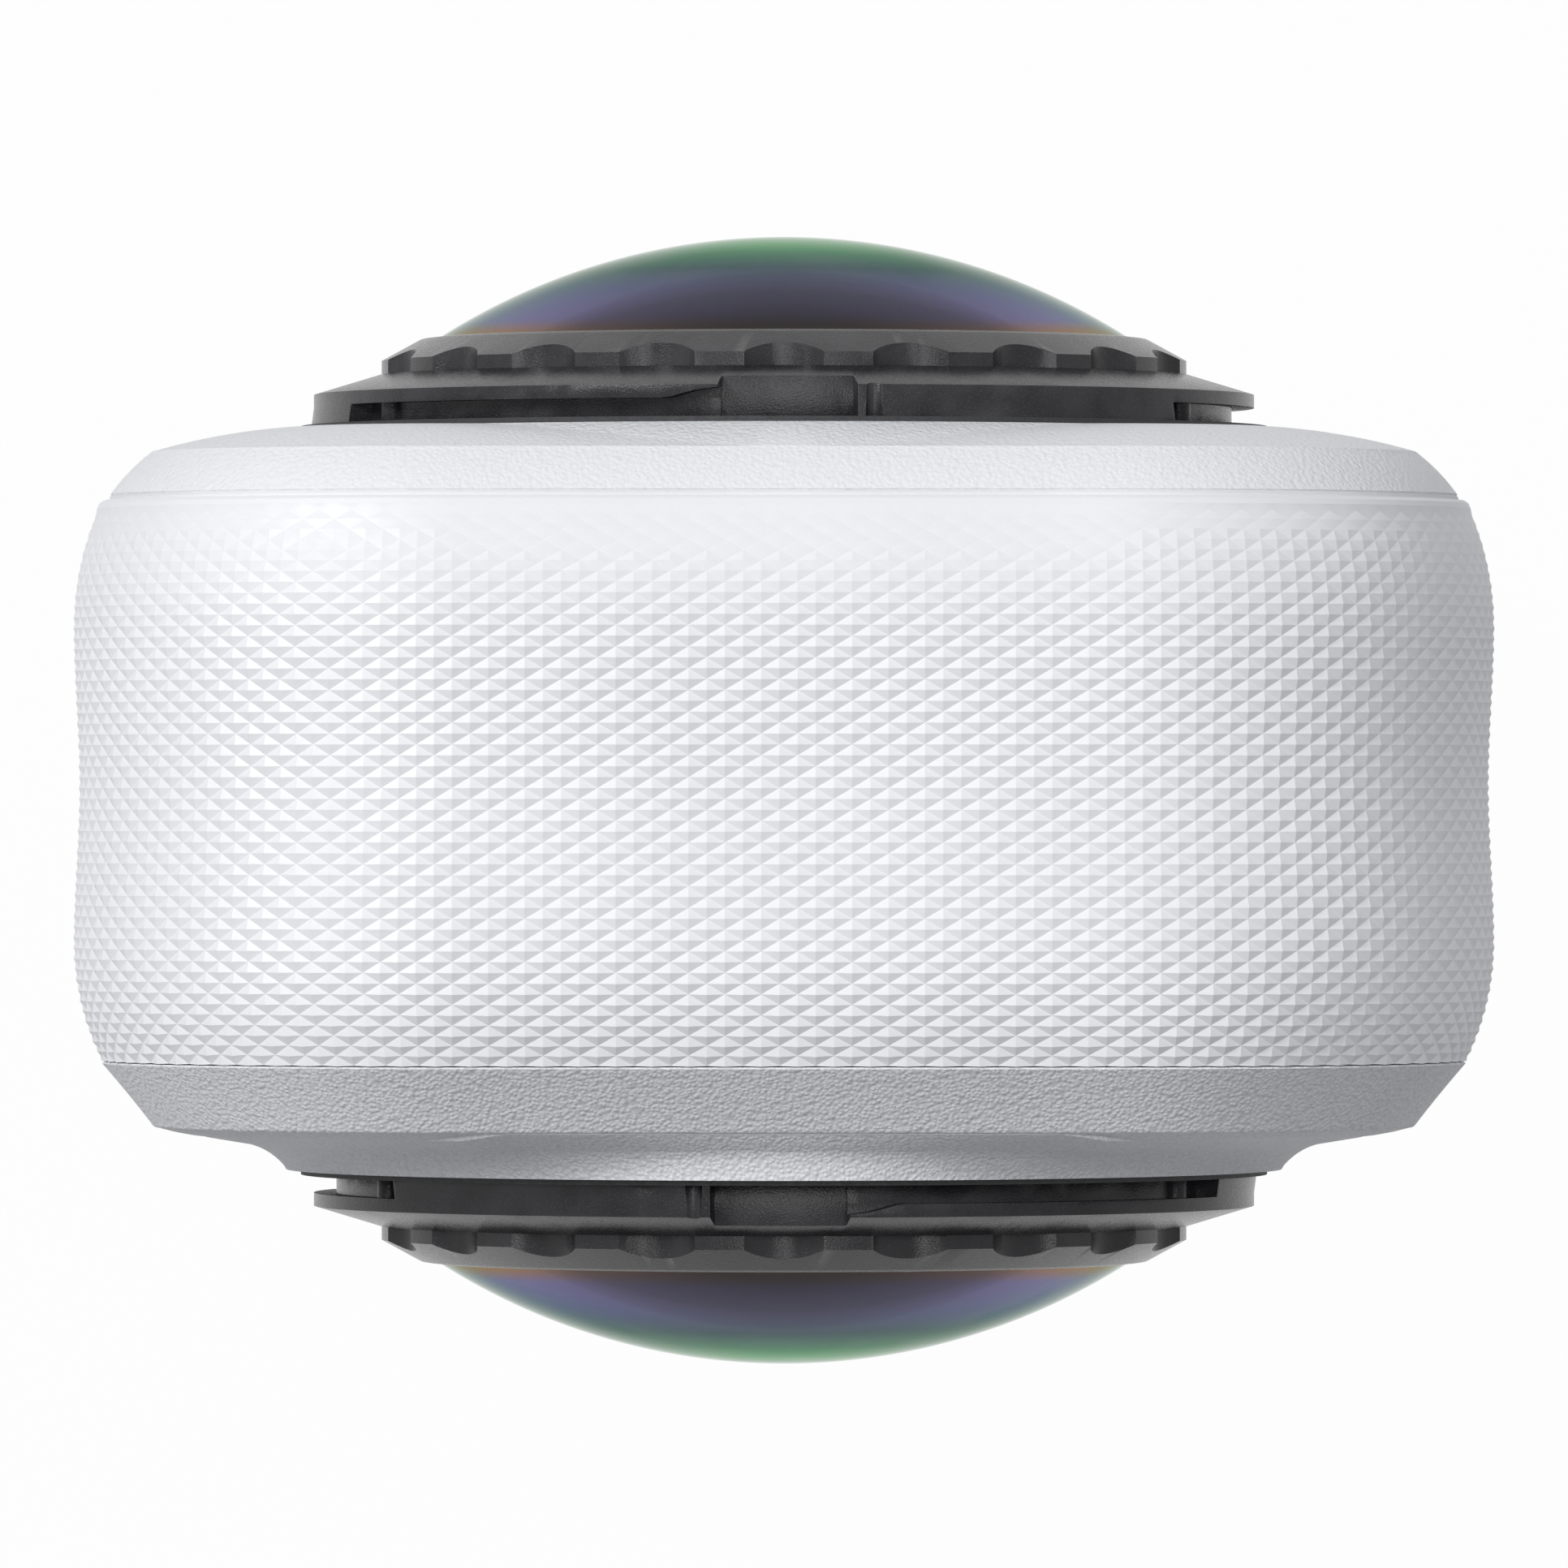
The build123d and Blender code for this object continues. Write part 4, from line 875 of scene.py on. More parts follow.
def rods_round(name, angles, r, y, rod_r, length, sides):
    """Rods along the depth at radius r from the lens axis, one for each angle in degrees."""
    turns = [math.radians(angle) for angle in angles]
    spots = [(r * math.cos(turn), y, LENS_Z + r * math.sin(turn)) for turn in turns]
    return join(name, [rod(name, "y", spot, rod_r, length, sides) for spot in spots])


THIRDS = (0, 120, 240)
print("sector tools come in threes,", THIRDS[1], "degrees apart")

# %% Collars
collar_section = [(12.65, 13.95), (13.3, 13.95), (15.44, 13.3), (15.44, 12.87), (15.52, 12.27), (13.8, 12.27),
                  (13.8, 10.9), (11.45, 10.9), (11.45, 11.7), (12.65, 11.7)]
front_collar = turned("front_collar_dressed", collar_section, 240)
SEAT_Y, FLANGE_Y, OVER_Y = 12.26, 12.87, 14.2       # foot of the slots, under the flange, and above it all
COLLAR_CUTS = [  # inner and outer radius, low and high depth, start and sweep in degrees, rise
    (14.5, 18.0, SEAT_Y, OVER_Y, 81.2, 16.7, 0),    # notch where the guard's claw goes in
    (14.7, 18.0, SEAT_Y, FLANGE_Y, 97.5, 58.0, 0),  # slot that the claw turns along
    (11.7, 13.3, 12.05, 13.05, 108, 62, 0),         # slot for the ring's lug
    (11.7, 13.3, 13.04, OVER_Y, 108, 32, 0),        # way in for the ring's lug
    (14.7, 18.0, SEAT_Y, 12.80, 97.6, 9.0, 0.42),   # slope that leads the claw under the flange
]
for inner_r, outer_r, low_y, high_y, start, sweep, rise in COLLAR_CUTS:
    spans = [(start + third, sweep) for third in THIRDS]
    front_collar = cut(front_collar, sectors("sectors", inner_r, outer_r, low_y, high_y, spans, rise))
nicks = rods_round("nicks", [79.3 + third for third in THIRDS], 15.62, 12.8, 0.3, 1.4, 20)
front_collar = cut(front_collar, nicks)
detents = rods_round("detents", [149.5 + third for third in THIRDS], 14.7, 12.57, 0.38, 0.62, 20)
front_collar = cut(front_collar, detents, "UNION")
soften(front_collar, 0.07, 3)
rear_collar = smooth(to_rear(front_collar, "rear_collar_dressed"))
print("collar has", len(front_collar.data.polygons), "faces")

# %% [markdown]
# ## Lens rings
# The ring that holds the dome has twenty scallops for finger and thumb. A wave on the
# section would give soft dents, but the real ones are milled, so twenty rods are cut out
# of a turned ring. Three lugs below lock it in the collar.

# %% Rings with finger scallops
SCALLOPS = 20
ring_section = [(11.47, 14.0), (11.47, 15.17), (11.93, 15.12), (12.03, 15.07), (13.25, 14.4), (13.25, 13.95),
                (12.58, 13.95), (12.58, 12.0), (11.6, 12.0), (11.6, 13.2), (10.6, 13.2), (10.6, 14.0)]
front_ring = turned("front_lens_ring_dressed", ring_section, 240)
scallop_angles = [90 + 360 / SCALLOPS * k for k in range(SCALLOPS)]
front_ring = cut(front_ring, rods_round("scallops", scallop_angles, 14.62, 14.7, 1.92, 1.52, 64))
lugs = sectors("lugs", 12.1, 12.9, 12.15, 12.95, [(140 + third, 28) for third in THIRDS])
front_ring = cut(front_ring, lugs, "UNION")
soften(front_ring, 0.10, 3, 22)
rear_ring = smooth(to_rear(front_ring, "rear_lens_ring_dressed"))
print("ring has", len(front_ring.data.polygons), "faces")

# %% [markdown]
# ## Domes and second elements
# The outer dome is a thick bowl of glass, and a smaller, steeper element lies below it in
# a black retainer. Both sides of the glass are modelled, because a solid ball would bend
# the light in the wrong way. The rear lens is the front one turned half round.

# %% Glass domes
def ball(apex, sphere_r, r_from, r_to, count):
    """Points on a sphere round the lens axis between two radii."""
    centre = apex - sphere_r
    first, last = math.asin(r_from / sphere_r), math.asin(r_to / sphere_r)
    angles = [first + (last - first) * k / count for k in range(count + 1)]
    return [(sphere_r * math.sin(a), centre + sphere_r * math.cos(a)) for a in angles]


dome_section = ball(18.5, 21.0, 0, 11.38, 30) + [(11.4, 15.11), (11.4, 14.0), (9.613, 14.0)]
dome_section += ball(17.0, 16.9, 9.6, 0, 24)
front_dome = smooth(turned("front_lens_dome_dressed", dome_section, 128, closed=False))
rear_dome = smooth(to_rear(front_dome, "rear_lens_dome_dressed"))
print("dome has", len(front_dome.data.polygons), "faces")

# %% Second elements and their retainers
element_section = [(0, 11.8), (6.6, 11.8), (6.6, 13.87)] + ball(15.85, 11.99, 6.58, 0, 16)
front_element = smooth(turned("front_inner_element_dressed", element_section, 96, closed=False))
rear_element = smooth(to_rear(front_element, "rear_inner_element_dressed"))
retainer_section = [(6.675, 11.8), (9.85, 11.8), (9.85, 13.1), (8.4, 13.1), (8.4, 13.6), (7.4, 13.6),
                    (7.4, 14.0), (6.675, 14.0)]
front_retainer = soften(turned("front_element_retainer_dressed", retainer_section, 96), 0.05)
rear_retainer = smooth(to_rear(front_retainer, "rear_element_retainer_dressed"))
LENS_NODES = ("collar", "lens_ring", "lens_dome", "inner_element", "element_retainer")
LENS_SLOTS = ("collar", "lens_ring", "dome_glass", "element_glass", "barrel_black")
for side, pieces in (("front", (front_collar, front_ring, front_dome, front_element, front_retainer)),
                     ("rear", (rear_collar, rear_ring, rear_dome, rear_element, rear_retainer))):
    for piece, node, slot in zip(pieces, LENS_NODES, LENS_SLOTS):
        body = side + "_lens" if node in ("lens_ring", "lens_dome") else "camera"
        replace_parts(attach(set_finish(piece, slot), body), side + "_" + node)
print("both lens mounts are in place")

# %% [markdown]
# ## Screen, buttons, latch and tripod socket
# These lie on the sides that the photograph doesn't show. The screen's edge is ground
# round, the buttons are dished for the finger, and the socket has its helical thread.

# %% Screen glass
glass = box("screen_glass_dressed", SCREEN_X, (REAR_FACE_Y, GLASS_BACK_Y), SCREEN_Z, SCREEN_CORNER, 1, 10)
soften(glass, 0.16, 4)
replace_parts(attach(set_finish(glass, "screen_glass"), "camera"), "screen_glass")
print("screen glass has", len(glass.data.polygons), "faces")

# %% [markdown]
# ## Buttons
# All four buttons are caps with a flange behind the wall that keeps them in. The two on
# the side are long and hollowed by a rod, and the two under the screen are round and
# hollowed by a big ball, so a fingertip finds their middle.

# %% Side buttons with a shallow dish
DISH_R, DISH_DEPTH = 14.0, 0.25
for node, z in (("power_button", BUTTON_Z[0]), ("quick_button", BUTTON_Z[1])):
    cap = pill(node, z, 9.7, 4.1, (21.0, 22.92))
    flange = pill("flange", z, 11.0, 5.4, (20.35, 21.0))
    cap = join(node + "_dressed", [cap, flange, rod("stem", "x", (20.225, WAIST_Y, z), 0.5, 0.25, 24)])
    dish = rod("dish", "z", (HALF_W + DISH_R - DISH_DEPTH, WAIST_Y, z), DISH_R, 6.6, 128)
    soften(cut(cap, dish), 0.18, 4)
    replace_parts(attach(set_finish(cap, "button_grey"), node), node)
    print(cap.name, "has", len(cap.data.polygons), "faces")

# %% Buttons under the screen
PROUD, HOLLOW_R, HOLLOW_DEPTH = 0.25, 20, 0.2       # height over the cover, and the ball that dishes the face
for node, x, r in BUTTONS:
    cap = rod(node, "y", (x, (REAR_FACE_Y - PROUD + REAR_INNER_Y) / 2, BUTTONS_Z), r - SLIP, 1.80, 96)
    flange = rod("flange", "y", (x, REAR_INNER_Y + 0.325, BUTTONS_Z), r + 0.5, 0.65, 96)
    stem = rod("stem", "y", (x, REAR_INNER_Y + 0.775, BUTTONS_Z), 0.5, 0.25, 24)
    cap = join(node + "_dressed", [cap, flange, stem])
    start_mesh()
    ball_y = REAR_FACE_Y - PROUD + HOLLOW_DEPTH - HOLLOW_R
    bpy.ops.mesh.primitive_uv_sphere_add(segments=96, ring_count=96, radius=HOLLOW_R * MM,
                                         location=(x * MM, ball_y * MM, BUTTONS_Z * MM))
    soften(cut(cap, rest_at_origin(bpy.context.object)), 0.14, 4)
    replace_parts(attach(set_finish(cap, "button_black"), node), node)
    print(cap.name, "has", len(cap.data.polygons), "faces")

# %% [markdown]
# ## Latch
# A ribbed slide locks the battery cover with a flat tongue that enters a pocket in the
# band. The ribs are grooves cut by thin rods, which look sharper than a bump map when
# one looks closely.

# %% Battery latch with grip ribs
LATCH_X, LATCH_Z, RIBS = (-22.67, -21.97), (61.0, 68.0), 5
latch = box("battery_latch_dressed", LATCH_X, (CENTRE_Y - 2.5, CENTRE_Y + 2.5), LATCH_Z, 0.5, 0)
rib_step = (LATCH_Z[1] - LATCH_Z[0]) / (RIBS + 1)
rib_heights = [LATCH_Z[0] + rib_step * k for k in range(1, RIBS + 1)]
ribs = [rod("rib", "y", (LATCH_X[0], CENTRE_Y, z), 0.17, 4.0, 24) for z in rib_heights]
latch = cut(latch, join("ribs", ribs))
tongue = box("tongue", (-22.52, LATCH_X[1]), (CENTRE_Y - 1.5, CENTRE_Y + 1.5), (67.5, 70.8))
latch = cut(latch, tongue, "UNION")
soften(latch, 0.05, 2)
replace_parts(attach(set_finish(latch, "latch_grey"), "battery_latch"), "battery_latch")
print("latch has", len(latch.data.polygons), "faces")

# %% [markdown]
# ## Tripod socket
# The steel insert is turned, and its thread is a small ridge that a Screw modifier winds
# up along the hole. Rings would look alike from afar, but one sees into this hole from
# below, where a real helix starts and ends.

# %% Tripod socket with its thread
THREAD_MAJOR, THREAD_PITCH, THREAD_TURNS = 3.175, 1.27, 4
socket_section = [
    (3.5, 0.0), (4.6, 0.0), (SOCKET_R, 0.12), (SOCKET_R, 1.7), (6.5, 1.7), (6.5, 3.0),
    (SOCKET_R, 3.0), (SOCKET_R, 7.5), (0.02, 7.5), (0.02, 6.6), (THREAD_MAJOR, 6.6),
    (THREAD_MAJOR, 0.35)
]
socket = turned("tripod_socket_dressed", socket_section, 96, upright_y=CENTRE_Y)
start_mesh()
bpy.ops.mesh.primitive_plane_add(size=MM, location=(THREAD_MAJOR * MM, 0, 0))
thread = rest_at_origin(bpy.context.object)
ridge = ((3.22, 0.0), (3.22, 1.1), (2.62, 0.48), (2.62, 0.62))      # radius and height of the ridge's corners
for vertex, (r, z) in zip(thread.data.vertices, ridge):
    vertex.co = (r * MM, 0, z * MM)
apply_modifier(thread, "SCREW", angle=2 * math.pi, screw_offset=THREAD_PITCH * MM, iterations=THREAD_TURNS,
               steps=48, render_steps=48, use_merge_vertices=True, merge_threshold=MM * 0.001)
thread.location = (0, CENTRE_Y * MM, 0.3 * MM)
clean(rest_at_origin(thread))
socket = smooth(join("tripod_socket_dressed", [socket, thread]), 32)
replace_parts(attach(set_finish(socket, "steel"), "camera"), "tripod_socket")
print("socket has", len(socket.data.polygons), "faces")

# %% [markdown]
# ## Materials
# Four node groups make all the surface detail. Each one puts out only masks, colours
# or heights, and every material mixes them with its own values. Sizes are given in
# millimetres, and all patterns lie on Object coordinates, so they stay with the piece.

# %% Tools for node groups
def new_group(name, takes, gives):
    """A shader node group with float or vector inputs and outputs."""
    group = bpy.data.node_groups.new(name, "ShaderNodeTree")
    for socket, kind, value in takes:
        made = group.interface.new_socket(socket, in_out="INPUT", socket_type=kind)
        if value is not None:
            made.default_value = value
    for socket, kind in gives:
        group.interface.new_socket(socket, in_out="OUTPUT", socket_type=kind)
    nodes = group.nodes
    return group, nodes.new("NodeGroupInput"), nodes.new("NodeGroupOutput")


def math_node(tree, operation, a, b=None, clamp=False):
    """A Math node whose inputs are sockets or numbers; gives its output."""
    node = tree.nodes.new("ShaderNodeMath")
    node.operation, node.use_clamp = operation, clamp
    for slot_in, value in zip(node.inputs, (a, b)):
        if value is None:
            continue
        if isinstance(value, (int, float)):
            slot_in.default_value = value
        else:
            tree.links.new(value, slot_in)
    return node.outputs[0]


def noise(tree, place, scale, detail, rough=0.5):
    """Noise at a scale given by a number or a socket; gives its value, about 0.5 on average."""
    node = tree.nodes.new("ShaderNodeTexNoise")
    node.inputs["Detail"].default_value, node.inputs["Roughness"].default_value = detail, rough
    tree.links.new(place, node.inputs["Vector"])
    if isinstance(scale, (int, float)):
        node.inputs["Scale"].default_value = scale
    else:
        tree.links.new(scale, node.inputs["Scale"])
    return node.outputs["Fac"]


def band_of(tree, value, low, high, out_low=0.0, out_high=1.0):
    """Maps low..high to out_low..out_high, clamped."""
    node = tree.nodes.new("ShaderNodeMapRange")
    for key, number in (("From Min", low), ("From Max", high), ("To Min", out_low), ("To Max", out_high)):
        node.inputs[key].default_value = number
    tree.links.new(value, node.inputs["Value"])
    return node.outputs["Result"]


FLOAT, VECTOR = "NodeSocketFloat", "NodeSocketVector"

# %% [markdown]
# ## Grain, wear, painted shade and glints, marks and coating
# Moulded plastic has rounded pebbles with fine sand between, which a Voronoi and a noise
# texture give together, and the sand's brightest spots make a mask for painted glints. Edges
# get bright with use, and creases get painted shade, a darker colour where shade falls; the bend
# of the surface tells both. Glass holds finger marks. The lens coating changes colour with
# the distance from the lens axis, because its film grows thinner towards the rim.

# %% Group: moulded grain
grain_group, grain_in, grain_out = new_group(
    "moulded_grain", [("Place", VECTOR, None), ("Grain per m", FLOAT, 4000.0), ("Pebble", FLOAT, 0.5)],
    [("Height", FLOAT), ("Tone", FLOAT), ("Rough", FLOAT), ("Painted glint", FLOAT)])
place, per_metre = grain_in.outputs["Place"], grain_in.outputs["Grain per m"]
pebble_share = grain_in.outputs["Pebble"]
sand = noise(grain_group, place, per_metre, 3.0, 0.55)
pebbles = grain_group.nodes.new("ShaderNodeTexVoronoi")
pebbles.feature = "SMOOTH_F1"
pebbles.inputs["Smoothness"].default_value = 0.6
grain_group.links.new(place, pebbles.inputs["Vector"])
grain_group.links.new(math_node(grain_group, "MULTIPLY", per_metre, 0.8), pebbles.inputs["Scale"])
domes = math_node(grain_group, "SUBTRACT", 0.8, pebbles.outputs["Distance"])
domes = math_node(grain_group, "MULTIPLY", domes, pebble_share)
grit = math_node(grain_group, "MULTIPLY", sand, math_node(grain_group, "SUBTRACT", 1.0, pebble_share))
cloud = noise(grain_group, place, 90.0, 2.0)
grain_group.links.new(math_node(grain_group, "ADD", domes, grit), grain_out.inputs["Height"])
grain_group.links.new(math_node(grain_group, "SUBTRACT", cloud, 0.5), grain_out.inputs["Tone"])
grain_group.links.new(math_node(grain_group, "SUBTRACT", sand, 0.5), grain_out.inputs["Rough"])
# painted glints: the sand's brightest spots give a mask for lighter specks in the colour, standing in for
# sparkle
grain_group.links.new(band_of(grain_group, sand, 0.58, 0.72), grain_out.inputs["Painted glint"])
print("grain group has", len(grain_group.nodes), "nodes")

# %% Group: worn edges and painted shade in creases
wear_and_shade_group, wear_and_shade_in, wear_and_shade_out = new_group(
    "edge_wear_and_crease_shade", [("Place", VECTOR, None)], [("Edge", FLOAT), ("Crease shade", FLOAT)])
bend = wear_and_shade_group.nodes.new("ShaderNodeNewGeometry").outputs["Pointiness"]
patchy = band_of(wear_and_shade_group, noise(wear_and_shade_group, wear_and_shade_in.outputs["Place"], 700.0, 4.0), 0.35, 0.65, 0.25, 1.0)
edge = math_node(wear_and_shade_group, "MULTIPLY", band_of(wear_and_shade_group, bend, 0.51, 0.60), patchy)
wear_and_shade_group.links.new(edge, wear_and_shade_out.inputs["Edge"])
# painted shade: where the surface bends inwards, the crease mask darkens the colour
wear_and_shade_group.links.new(band_of(wear_and_shade_group, bend, 0.49, 0.42), wear_and_shade_out.inputs["Crease shade"])
print("wear group has", len(wear_and_shade_group.nodes), "nodes")

# %% Group: finger marks on glass
smudge_group, smudge_in, smudge_out = new_group("finger_marks", [("Place", VECTOR, None)], [("Mark", FLOAT)])
blot = band_of(smudge_group, noise(smudge_group, smudge_in.outputs["Place"], 160.0, 3.0), 0.52, 0.72)
streak = noise(smudge_group, smudge_in.outputs["Place"], 2600.0, 2.0)
smudge_group.links.new(math_node(smudge_group, "MULTIPLY", blot, streak), smudge_out.inputs["Mark"])
print("finger mark group has", len(smudge_group.nodes), "nodes")

# %% Group: coating that turns from green over blue to purple away from the lens axis
coat_group, coat_in, coat_out = new_group(
    "lens_coating", [("Place", VECTOR, None), ("Reach", FLOAT, 11.4)], [("Tint", "NodeSocketColor")])
apart = coat_group.nodes.new("ShaderNodeSeparateXYZ")
coat_group.links.new(coat_in.outputs["Place"], apart.inputs[0])
across = math_node(coat_group, "POWER", apart.outputs["X"], 2.0)
upright = math_node(coat_group, "SUBTRACT", apart.outputs["Z"], LENS_Z * MM)
squares = math_node(coat_group, "ADD", across, math_node(coat_group, "POWER", upright, 2.0))
radius = math_node(coat_group, "DIVIDE", math_node(coat_group, "SQRT", squares), MM)
waves = math_node(coat_group, "SUBTRACT", noise(coat_group, coat_in.outputs["Place"], 60.0, 1.0), 0.5)
share = math_node(coat_group, "DIVIDE", radius, coat_in.outputs["Reach"])
share = math_node(coat_group, "ADD", share, math_node(coat_group, "MULTIPLY", waves, 0.05))
COATING = [  # share of the reach, and the film's colour there
    (0.0, (0.26, 0.74, 0.24)), (0.30, (0.22, 0.62, 0.28)), (0.48, (0.10, 0.24, 0.18)),
    (0.62, (0.06, 0.09, 0.15)), (0.78, (0.14, 0.11, 0.36)), (0.93, (0.25, 0.16, 0.52)),
    (0.985, (0.52, 0.20, 0.10))]


def fill_ramp(ramp, stops):
    """Puts (position, colour) stops on a new colour ramp, whose first two are there already."""
    for number, (at, colour) in enumerate(stops):
        point = ramp.elements[number] if number < 2 else ramp.elements.new(at)
        point.position, point.color = at, (*colour, 1)


film_colours = coat_group.nodes.new("ShaderNodeValToRGB")
coat_group.links.new(share, film_colours.inputs["Fac"])
fill_ramp(film_colours.color_ramp, COATING)
coat_group.links.new(film_colours.outputs["Color"], coat_out.inputs["Tint"])
print("coating has", len(COATING), "colours")

# %% [markdown]
# ## One recipe for opaque finishes
# Plastic, rubber, paint and metal differ in colour, grain, wear and sheen, and not in
# how they are built. So one function wires the groups to a Principled shader, and each
# finish is one line of values.

# %% One moulded, painted or metal surface
def surface(name, colour, rough, grain_mm=0.25, depth_mm=0.01, pebble=0.5, tone=0.05, rough_swing=0.15,
            metallic=0.0, edge=(0.0, None), crease=(0.0, None), painted_glint=(0.0, None), coat=0.0, brushed=None,
            specular=0.5, pit_shade=0.0):
    """A Principled material with grain, uneven tone, rubbed edges, painted shade in creases and in the
    grain's low spots, and painted glints.

    edge, crease and the glint specks each take (strength, colour): edge lightens rubbed edges, crease lays
    painted shade in creases, and the specks are painted glints that stand in for sparkle. brushed is the
    axis, 0, 1 or 2, along which fine lines run, and the pit shade says how much painted shade darkens the low
    spots of the grain.
    """
    material = bpy.data.materials.new(name)
    material.use_nodes = True
    tree = material.node_tree
    shade = tree.nodes["Principled BSDF"]
    coordinates = tree.nodes.new("ShaderNodeTexCoord").outputs["Object"]
    place = coordinates
    if brushed is not None:
        mapping = tree.nodes.new("ShaderNodeMapping")
        mapping.inputs["Scale"].default_value = [0.02 if axis == brushed else 1.0 for axis in range(3)]
        tree.links.new(coordinates, mapping.inputs["Vector"])
        place = mapping.outputs[0]
    grain, wear_and_shade = tree.nodes.new("ShaderNodeGroup"), tree.nodes.new("ShaderNodeGroup")
    grain.node_tree, wear_and_shade.node_tree = grain_group, wear_and_shade_group
    tree.links.new(place, grain.inputs["Place"])
    tree.links.new(coordinates, wear_and_shade.inputs["Place"])
    grain.inputs["Grain per m"].default_value = 1 / (grain_mm * MM)
    grain.inputs["Pebble"].default_value = pebble

    shift = math_node(tree, "MULTIPLY", grain.outputs["Tone"], tone * 4)
    tint = tree.nodes.new("ShaderNodeHueSaturation")
    tint.inputs["Color"].default_value = (*colour, 1)
    # painted shade in the grain: its low spots get a darker colour
    low = math_node(tree, "MULTIPLY", math_node(tree, "SUBTRACT", grain.outputs["Height"], 0.5), pit_shade)
    tree.links.new(math_node(tree, "ADD", math_node(tree, "ADD", shift, low), 1.0), tint.inputs["Value"])
    painted = tint.outputs["Color"]
    # painted glints, rubbed edges and painted shade in creases, each mixed into the colour
    masks = ((grain.outputs["Painted glint"], painted_glint), (wear_and_shade.outputs["Edge"], edge), (wear_and_shade.outputs["Crease shade"], crease))
    for mask, (strength, wear_and_painted_light_colour) in masks:
        if strength:
            mix = tree.nodes.new("ShaderNodeMix")
            mix.data_type = "RGBA"
            tree.links.new(math_node(tree, "MULTIPLY", mask, strength, True), mix.inputs["Factor"])
            tree.links.new(painted, mix.inputs["A"])
            mix.inputs["B"].default_value = (*wear_and_painted_light_colour, 1)
            painted = mix.outputs["Result"]
    tree.links.new(painted, shade.inputs["Base Color"])
    swing = math_node(tree, "MULTIPLY", grain.outputs["Rough"], rough_swing * 2)
    tree.links.new(math_node(tree, "ADD", swing, rough, True), shade.inputs["Roughness"])
    relief = tree.nodes.new("ShaderNodeBump")
    relief.inputs["Strength"].default_value, relief.inputs["Distance"].default_value = 1.0, depth_mm * MM
    tree.links.new(grain.outputs["Height"], relief.inputs["Height"])
    tree.links.new(relief.outputs["Normal"], shade.inputs["Normal"])
    shade.inputs["Metallic"].default_value = metallic
    shade.inputs["Coat Weight"].default_value = coat
    shade.inputs["Specular IOR Level"].default_value = specular
    return material


print("one recipe serves every opaque finish")

# %% [markdown]
# ## White mouldings
# The band is smooth between its pyramids, the front cover is finely grained, and the rear
# cover has a coarser grain. All three get painted shade in their creases, and the two covers
# also painted shade in the low spots of their grain, most on the rear one.

# %% White and grey mouldings
# SHADE_GREY and the last, darker grey are painted shade that the crease masks lay in creases
WHITE, SHADE_GREY, CREASE_SHADE = (0.83, 0.84, 0.86), (0.66, 0.67, 0.69), (0.30, 0.30, 0.31)
LOOK = {
    "grip_band": surface("knurled_white", WHITE, 0.46, 0.16, 0.006, 0.3, 0.03, 0.12,
                         edge=(0.35, (0.90, 0.91, 0.93)), crease=(0.35, SHADE_GREY)),
    # both covers get painted shade in creases and in the low spots of their grain
    "front_shell": surface("fine_grained_white", WHITE, 0.50, 0.13, 0.050, 0.60, 0.01, 0.12,
                           crease=(0.5, CREASE_SHADE), pit_shade=0.10),
    "rear_shell": surface("coarse_grained_white", (0.80, 0.81, 0.83), 0.55, 0.11, 0.065, 0.70, 0.02, 0.15,
                          crease=(0.5, CREASE_SHADE), pit_shade=0.45),
    "latch_grey": surface("grey_plastic", (0.24, 0.25, 0.26), 0.50, 0.18, 0.012, 0.6, 0.08, 0.15,
                          edge=(0.5, (0.40, 0.41, 0.42))),
    "button_grey": surface("light_grey_plastic", (0.56, 0.57, 0.58), 0.46, 0.18, 0.008, 0.6, 0.05, 0.15,
                           edge=(0.4, (0.70, 0.71, 0.72))),
    "gasket_grey": surface("grey_rubber", (0.74, 0.75, 0.77), 0.65, 0.15, 0.01, 0.4, 0.08, 0.2),
    "light_guide": surface("frosted_guide", (0.72, 0.76, 0.80), 0.35, 0.10, 0.006, 0.3, 0.05, 0.2),
}
print(len(LOOK), "light finishes")

# %% [markdown]
# ## Black parts
# The lens mounts are black with a satin sheen, and fine lighter specks in their colour are
# painted glints that stand in for the sparkle of blasted and anodised metal. Rubber and inner plastic are
# duller.

